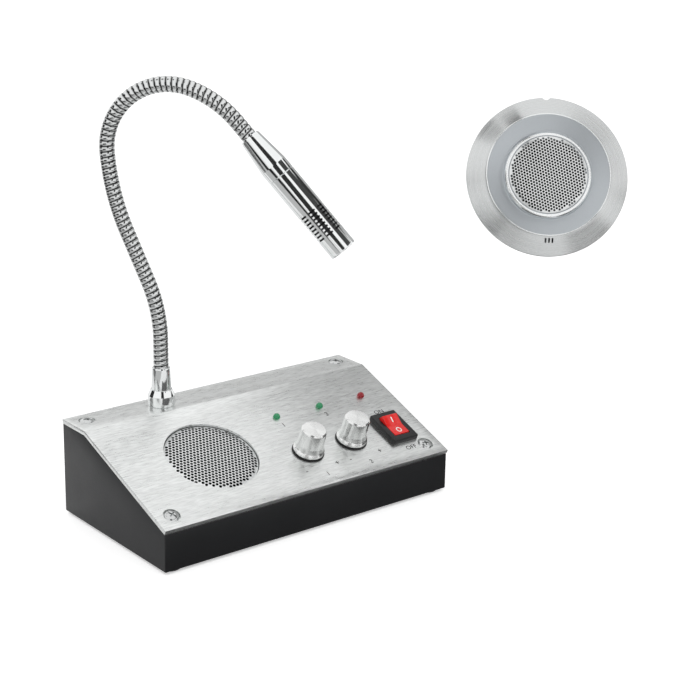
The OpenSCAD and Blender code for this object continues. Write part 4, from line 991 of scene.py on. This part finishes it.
class INTERCOM_OT_window_ring(IntercomOperator, bpy.types.Operator):
    """Satin ring of the window unit: rim, hollow and the raised ring round the grille"""

    bl_idname = "intercom.window_ring"
    bl_label = "Window unit ring"

    def execute(self, context):
        rim_r, boss_r, sheet_r, skirt = RIM_RADIUS, BOSS_RADIUS, WINDOW_GRILLE_RADIUS, RIM_RADIUS - 0.7
        top, seat, valley, boss = RIM_HEIGHT, RIM_HEIGHT - 2.2, RIM_HEIGHT - 3.5, RIM_HEIGHT - 0.9
        ring = turned([(skirt, 0), (skirt, LIP_HEIGHT), (rim_r, LIP_HEIGHT, 0.05), (rim_r, top - 0.4, 0.2),
                       (rim_r - 0.6, top, 0.4), (rim_r - 1.5, top - 0.3, 0.8), (boss_r + 0.3, valley, 0.8),
                       (boss_r - 0.2, boss - 0.8, 0.4), (boss_r - 1.0, boss, 0.5),
                       (sheet_r + 0.1, boss, 0.2), (sheet_r + 0.1, seat), (20.6, seat),
                       (20.6, seat - 1.5), (22.4, seat - 1.5), (boss_r, valley - 1.5), (31, 4.0),
                       (skirt - 1.5, 0)], WINDOW_SIDES, 5)
        satin = moulded_metal("satin_silver_coat", self.tone("ring"), 0.42)
        piece("ring_satin", ring, satin, "window_unit", at_window(), replaces=["outside_cover"],
              smooth=24)
        raised = turned([(boss_r + 0.12, valley + 0.7), (boss_r - 0.1, boss - 0.75, 0.5),
                         (boss_r - 0.95, boss + 0.1, 0.7), (sheet_r + 0.5, boss + 0.05, 0.3),
                         (sheet_r + 0.2, boss - 0.5), (boss_r - 1, valley + 0.7)], WINDOW_SIDES, 6)
        rim = turned([(rim_r + 0.05, LIP_HEIGHT + 0.2), (rim_r + 0.05, top - 0.35, 0.25),
                      (rim_r - 0.6, top + 0.04, 0.2), (rim_r - 0.8, top - 0.5)], WINDOW_SIDES, 5)
        bright = turned_metal("diamond_cut_edge", linear("#f4f6f6"), 0.2, 0.02, at_window(), 0.5, 0.5)
        piece("ring_bright_edges", joined(raised, rim), bright, "window_unit", at_window())
        radius = sheet_r - 0.1

        def crown(r):
            return seat + 1.3 + 0.7 * (1 - max(0.0, (r - radius + 3) / 3) ** 2)

        sheet = perforated(radius, self.size("hole_pitch"), self.size("hole_diameter"), 0.15, crown, lean=8)
        metal = moulded_metal("perforated_steel", self.tone("sheet"), 0.34)
        piece("window_perforated_sheet", sheet, metal, "window_unit", at_window(),
              replaces=["outside_grille"], smooth=40)
        return {"FINISHED"}


class INTERCOM_OT_marks(IntercomOperator, bpy.types.Operator):
    """Plain printed marks: signs by the knobs, channel numbers, on and off"""

    bl_idname = "intercom.marks"
    bl_label = "Printed marks"

    def execute(self, context):
        size = self.size("mark_height")
        marks = [("ON", COLUMNS[2] + 1.5, 41.1, size), ("OFF", COLUMNS[2] + 0.4, 9.4, size)]
        for number, x in zip("12", COLUMNS):
            marks += [(number, x, LAMP_V - 7.2, size), (number, x, 7.4, size),
                      ("-", x - 10.4, 13.0, size * 1.2), ("+", x + 10.2, 13.0, size * 1.2)]
        printed = joined(*[(letters(text, height), on_slope(x, v, PLATE + 0.01))
                           for text, x, v, height in marks])
        piece("printed_marks", printed, ink(), "desk_unit", smooth=30)
        return {"FINISHED"}


class INTERCOM_OT_cad_finishes(IntercomOperator, bpy.types.Operator):
    """Finishes for the CAD pieces that keep their shape"""

    bl_idname = "intercom.cad_finishes"
    bl_label = "Other finishes"

    def execute(self, context):
        dress(plated("zinc_plated_steel", linear("#b4b8bb"), 0.28), "speaker_clips", "speaker_nuts",
              "pot_nuts", "pot_inside", "pot_outside", "neck_washer", "neck_nut", "socket_nuts",
              "board_screws", "outside_screws")
        dress(woven_cloth(linear("#050505")), "grille_cloth", "outside_cloth")
        dress(moulded("black_lacquered_basket", linear("#2a2b2d"), 0.4), "speaker_frame", "outside_speaker")
        dress(moulded("pressed_paper_cone", linear("#1a1a1b"), 0.9, 0.6, 0.08), "speaker_cone")
        dress(moulded("ferrite", linear("#4b4c50"), 0.7, 0.5, 0.05), "speaker_magnet", "outside_magnet")
        dress(board_lacquer(linear("#1f6b3c")), "control_board", "main_board")
        dress(moulded_metal("drawn_steel", linear("#c7cacc"), 0.3), "pot_shaft_inside", "pot_shaft_outside",
              "mic_capsule", "outside_mic")
        dress(plated("tinned_brass", linear("#c9b37a"), 0.3), "switch_terminals")
        dress(moulded("capsule_rubber", linear("#202124"), 0.8, 0.6, 0.05), "mic_boot", "outside_gasket")
        dress(moulded("chip_epoxy", linear("#1a1a1b"), 0.6, 0.3), "amplifier_chip")
        dress(moulded_metal("extruded_aluminium", linear("#9a9da0"), 0.4), "heat_sink")
        dress(moulded("capacitor_sleeve", linear("#23304a"), 0.3, 1.0, 0.01), "capacitors")
        dress(moulded("ivory_nylon", linear("#e9e6da"), 0.5), "wire_headers")
        dress(moulded("black_socket_nylon", linear("#1c1d1f"), 0.45), "outside_unit_socket", "record_socket",
              "power_socket", "outside_socket")
        dress(moulded("satin_black_abs", self.tone("case"), 0.4), "outside_back_shell")
        return {"FINISHED"}


class INTERCOM_OT_stage(IntercomOperator, bpy.types.Operator):
    """Pale floor, soft studio light, dark flags that metal mirrors, and the camera"""

    bl_idname = "intercom.stage"
    bl_label = "Stage"

    def execute(self, context):
        scene = context.scene
        scene.view_settings.view_transform = "Standard"
        self.camera(scene)
        self.world(scene)
        floor = self.card("floor", (0, 0, -FOOT_HEIGHT), (0, 0, 1), 9000, 9000, self.floor_paint())
        cards = []
        for number, (name, toward, away, wide, tall, grey) in enumerate(FLAGS):
            middle = MICROPHONE_MIDDLE if number < NEAR_MICROPHONE else OBJECT_MIDDLE
            toward = Vector(toward).normalized()
            cards.append(("flag_" + name, Vector(middle) + toward * away, -toward, wide, tall, grey))
        cards += [("mat_" + name, Vector((*centre, 0.3 - FOOT_HEIGHT)), Vector((0, 0, 1)), wide, deep, grey)
                  for name, centre, wide, deep, grey in MATS]
        for name, at, facing, wide, tall, grey in cards:
            flag = self.card(name, at, facing, wide, tall, self.flag_paint(name, grey))
            flag.visible_camera = flag.visible_diffuse = flag.visible_shadow = False
            flag.visible_transmission = flag.visible_volume_scatter = False
        for lamp in LAMPS:
            self.lamp(*lamp)
        return {"FINISHED"}

    def camera(self, scene):
        data = bpy.data.cameras.new("camera")
        data.sensor_width, data.lens = CAMERA_SENSOR, CAMERA_LENS
        data.clip_start, data.clip_end = 0.05, 50
        scene.camera = put("camera", data)
        scene.camera.matrix_world = Matrix((CAMERA_RIGHT, CAMERA_UP, CAMERA_BACK)).transposed().to_4x4()
        scene.camera.location = Vector(CAMERA_AT) * MM

    def card(self, name, at, facing, wide, tall, material):
        mesh = bpy.data.meshes.new(name)
        w, t = wide / 2 * MM, tall / 2 * MM
        mesh.from_pydata([(-w, -t, 0), (w, -t, 0), (w, t, 0), (-w, t, 0)], [], [(0, 1, 2, 3)])
        mesh.materials.append(material)
        made = put(name, mesh)
        self.aim(made, at, Vector(facing), "Z")
        return made

    def aim(self, thing, at, direction, axis):
        thing.location = Vector(at) * MM
        thing.rotation_mode = "QUATERNION"
        thing.rotation_quaternion = direction.to_track_quat(axis, "Y")

    def floor_paint(self):
        """Matt white paper: it takes the soft shadow, and shows a little whiter to the camera."""
        material, tree, shader = finish_of("white_paper", linear("#f4f4f4"), 0.0, 0.9,
                                           Emission_Color=(1, 1, 1, 1))
        path = add(tree, "LightPath")
        glow = add(tree, "Math", {0: path.outputs["Is Camera Ray"], 1: 0.45}, operation="MULTIPLY")
        tree.links.new(glow.outputs[0], shader.inputs["Emission Strength"])
        return material

    def flag_paint(self, name, grey):
        """Matt card that shows one even grey in mirrors."""
        return finish_of("matt_" + name, (0, 0, 0), 0.0, 1.0, Specular_IOR_Level=0.0,
                         Emission_Color=(1, 1, 1, 1), Emission_Strength=grey)[0]

    def lamp(self, name, at, size, watts):
        data = bpy.data.lights.new(name, "AREA")
        data.shape, data.size, data.energy = "DISK", size * MM, watts
        made = put(name, data)
        self.aim(made, at, Vector((0, 0, 80)) - Vector(at), "-Z")
        made.visible_glossy = False

    def world(self, scene):
        """White to the camera and to mirrors; as light on the object it is softer."""
        scene.world = bpy.data.worlds.new("studio")
        scene.world.use_nodes = True
        tree = scene.world.node_tree
        tree.nodes.clear()
        path = add(tree, "LightPath").outputs
        seen = path["Is Camera Ray"]
        for kind in ("Glossy", "Transmission"):
            seen = add(tree, "Math", {0: seen, 1: path[f"Is {kind} Ray"]}, operation="MAXIMUM").outputs[0]
        level = add(tree, "MapRange", {"Value": seen, "To Min": 0.75, "To Max": 1.0})
        sky = add(tree, "Background", {"Color": (1, 1, 1, 1), "Strength": level.outputs[0]})
        add(tree, "OutputWorld", {"Surface": sky.outputs[0]})


class INTERCOM_PT_panel(bpy.types.Panel):
    """Sizes, colours and pieces of the intercom"""

    bl_idname = "INTERCOM_PT_panel"
    bl_label = "Teller window intercom"
    bl_space_type = "VIEW_3D"
    bl_region_type = "UI"
    bl_category = "Intercom"

    def draw(self, context):
        layout = self.layout
        for group in (context.scene.intercom_sizes, context.scene.intercom_colours):
            shown = layout.box()
            for name in group.__annotations__:
                shown.prop(group, name)
        for operator in OPERATORS:
            layout.operator(operator.bl_idname)


OPERATORS = (
    INTERCOM_OT_case, INTERCOM_OT_plate, INTERCOM_OT_plate_screws, INTERCOM_OT_speaker_grille,
    INTERCOM_OT_lamps, INTERCOM_OT_knobs, INTERCOM_OT_switch, INTERCOM_OT_neck_foot,
    INTERCOM_OT_gooseneck, INTERCOM_OT_microphone, INTERCOM_OT_window_flange, INTERCOM_OT_window_ring,
    INTERCOM_OT_marks, INTERCOM_OT_cad_finishes, INTERCOM_OT_stage,
)
CLASSES = (IntercomSizes, IntercomColours, *OPERATORS, INTERCOM_PT_panel)


def register():
    for each in CLASSES:
        bpy.utils.register_class(each)
    bpy.types.Scene.intercom_sizes = PointerProperty(type=IntercomSizes)
    bpy.types.Scene.intercom_colours = PointerProperty(type=IntercomColours)


def unregister():
    del bpy.types.Scene.intercom_colours
    del bpy.types.Scene.intercom_sizes
    for each in reversed(CLASSES):
        bpy.utils.unregister_class(each)


def main():
    register()
    for operator in OPERATORS:
        group, name = operator.bl_idname.split(".")
        getattr(getattr(bpy.ops, group), name)()


if __name__ == "__main__":
    main()
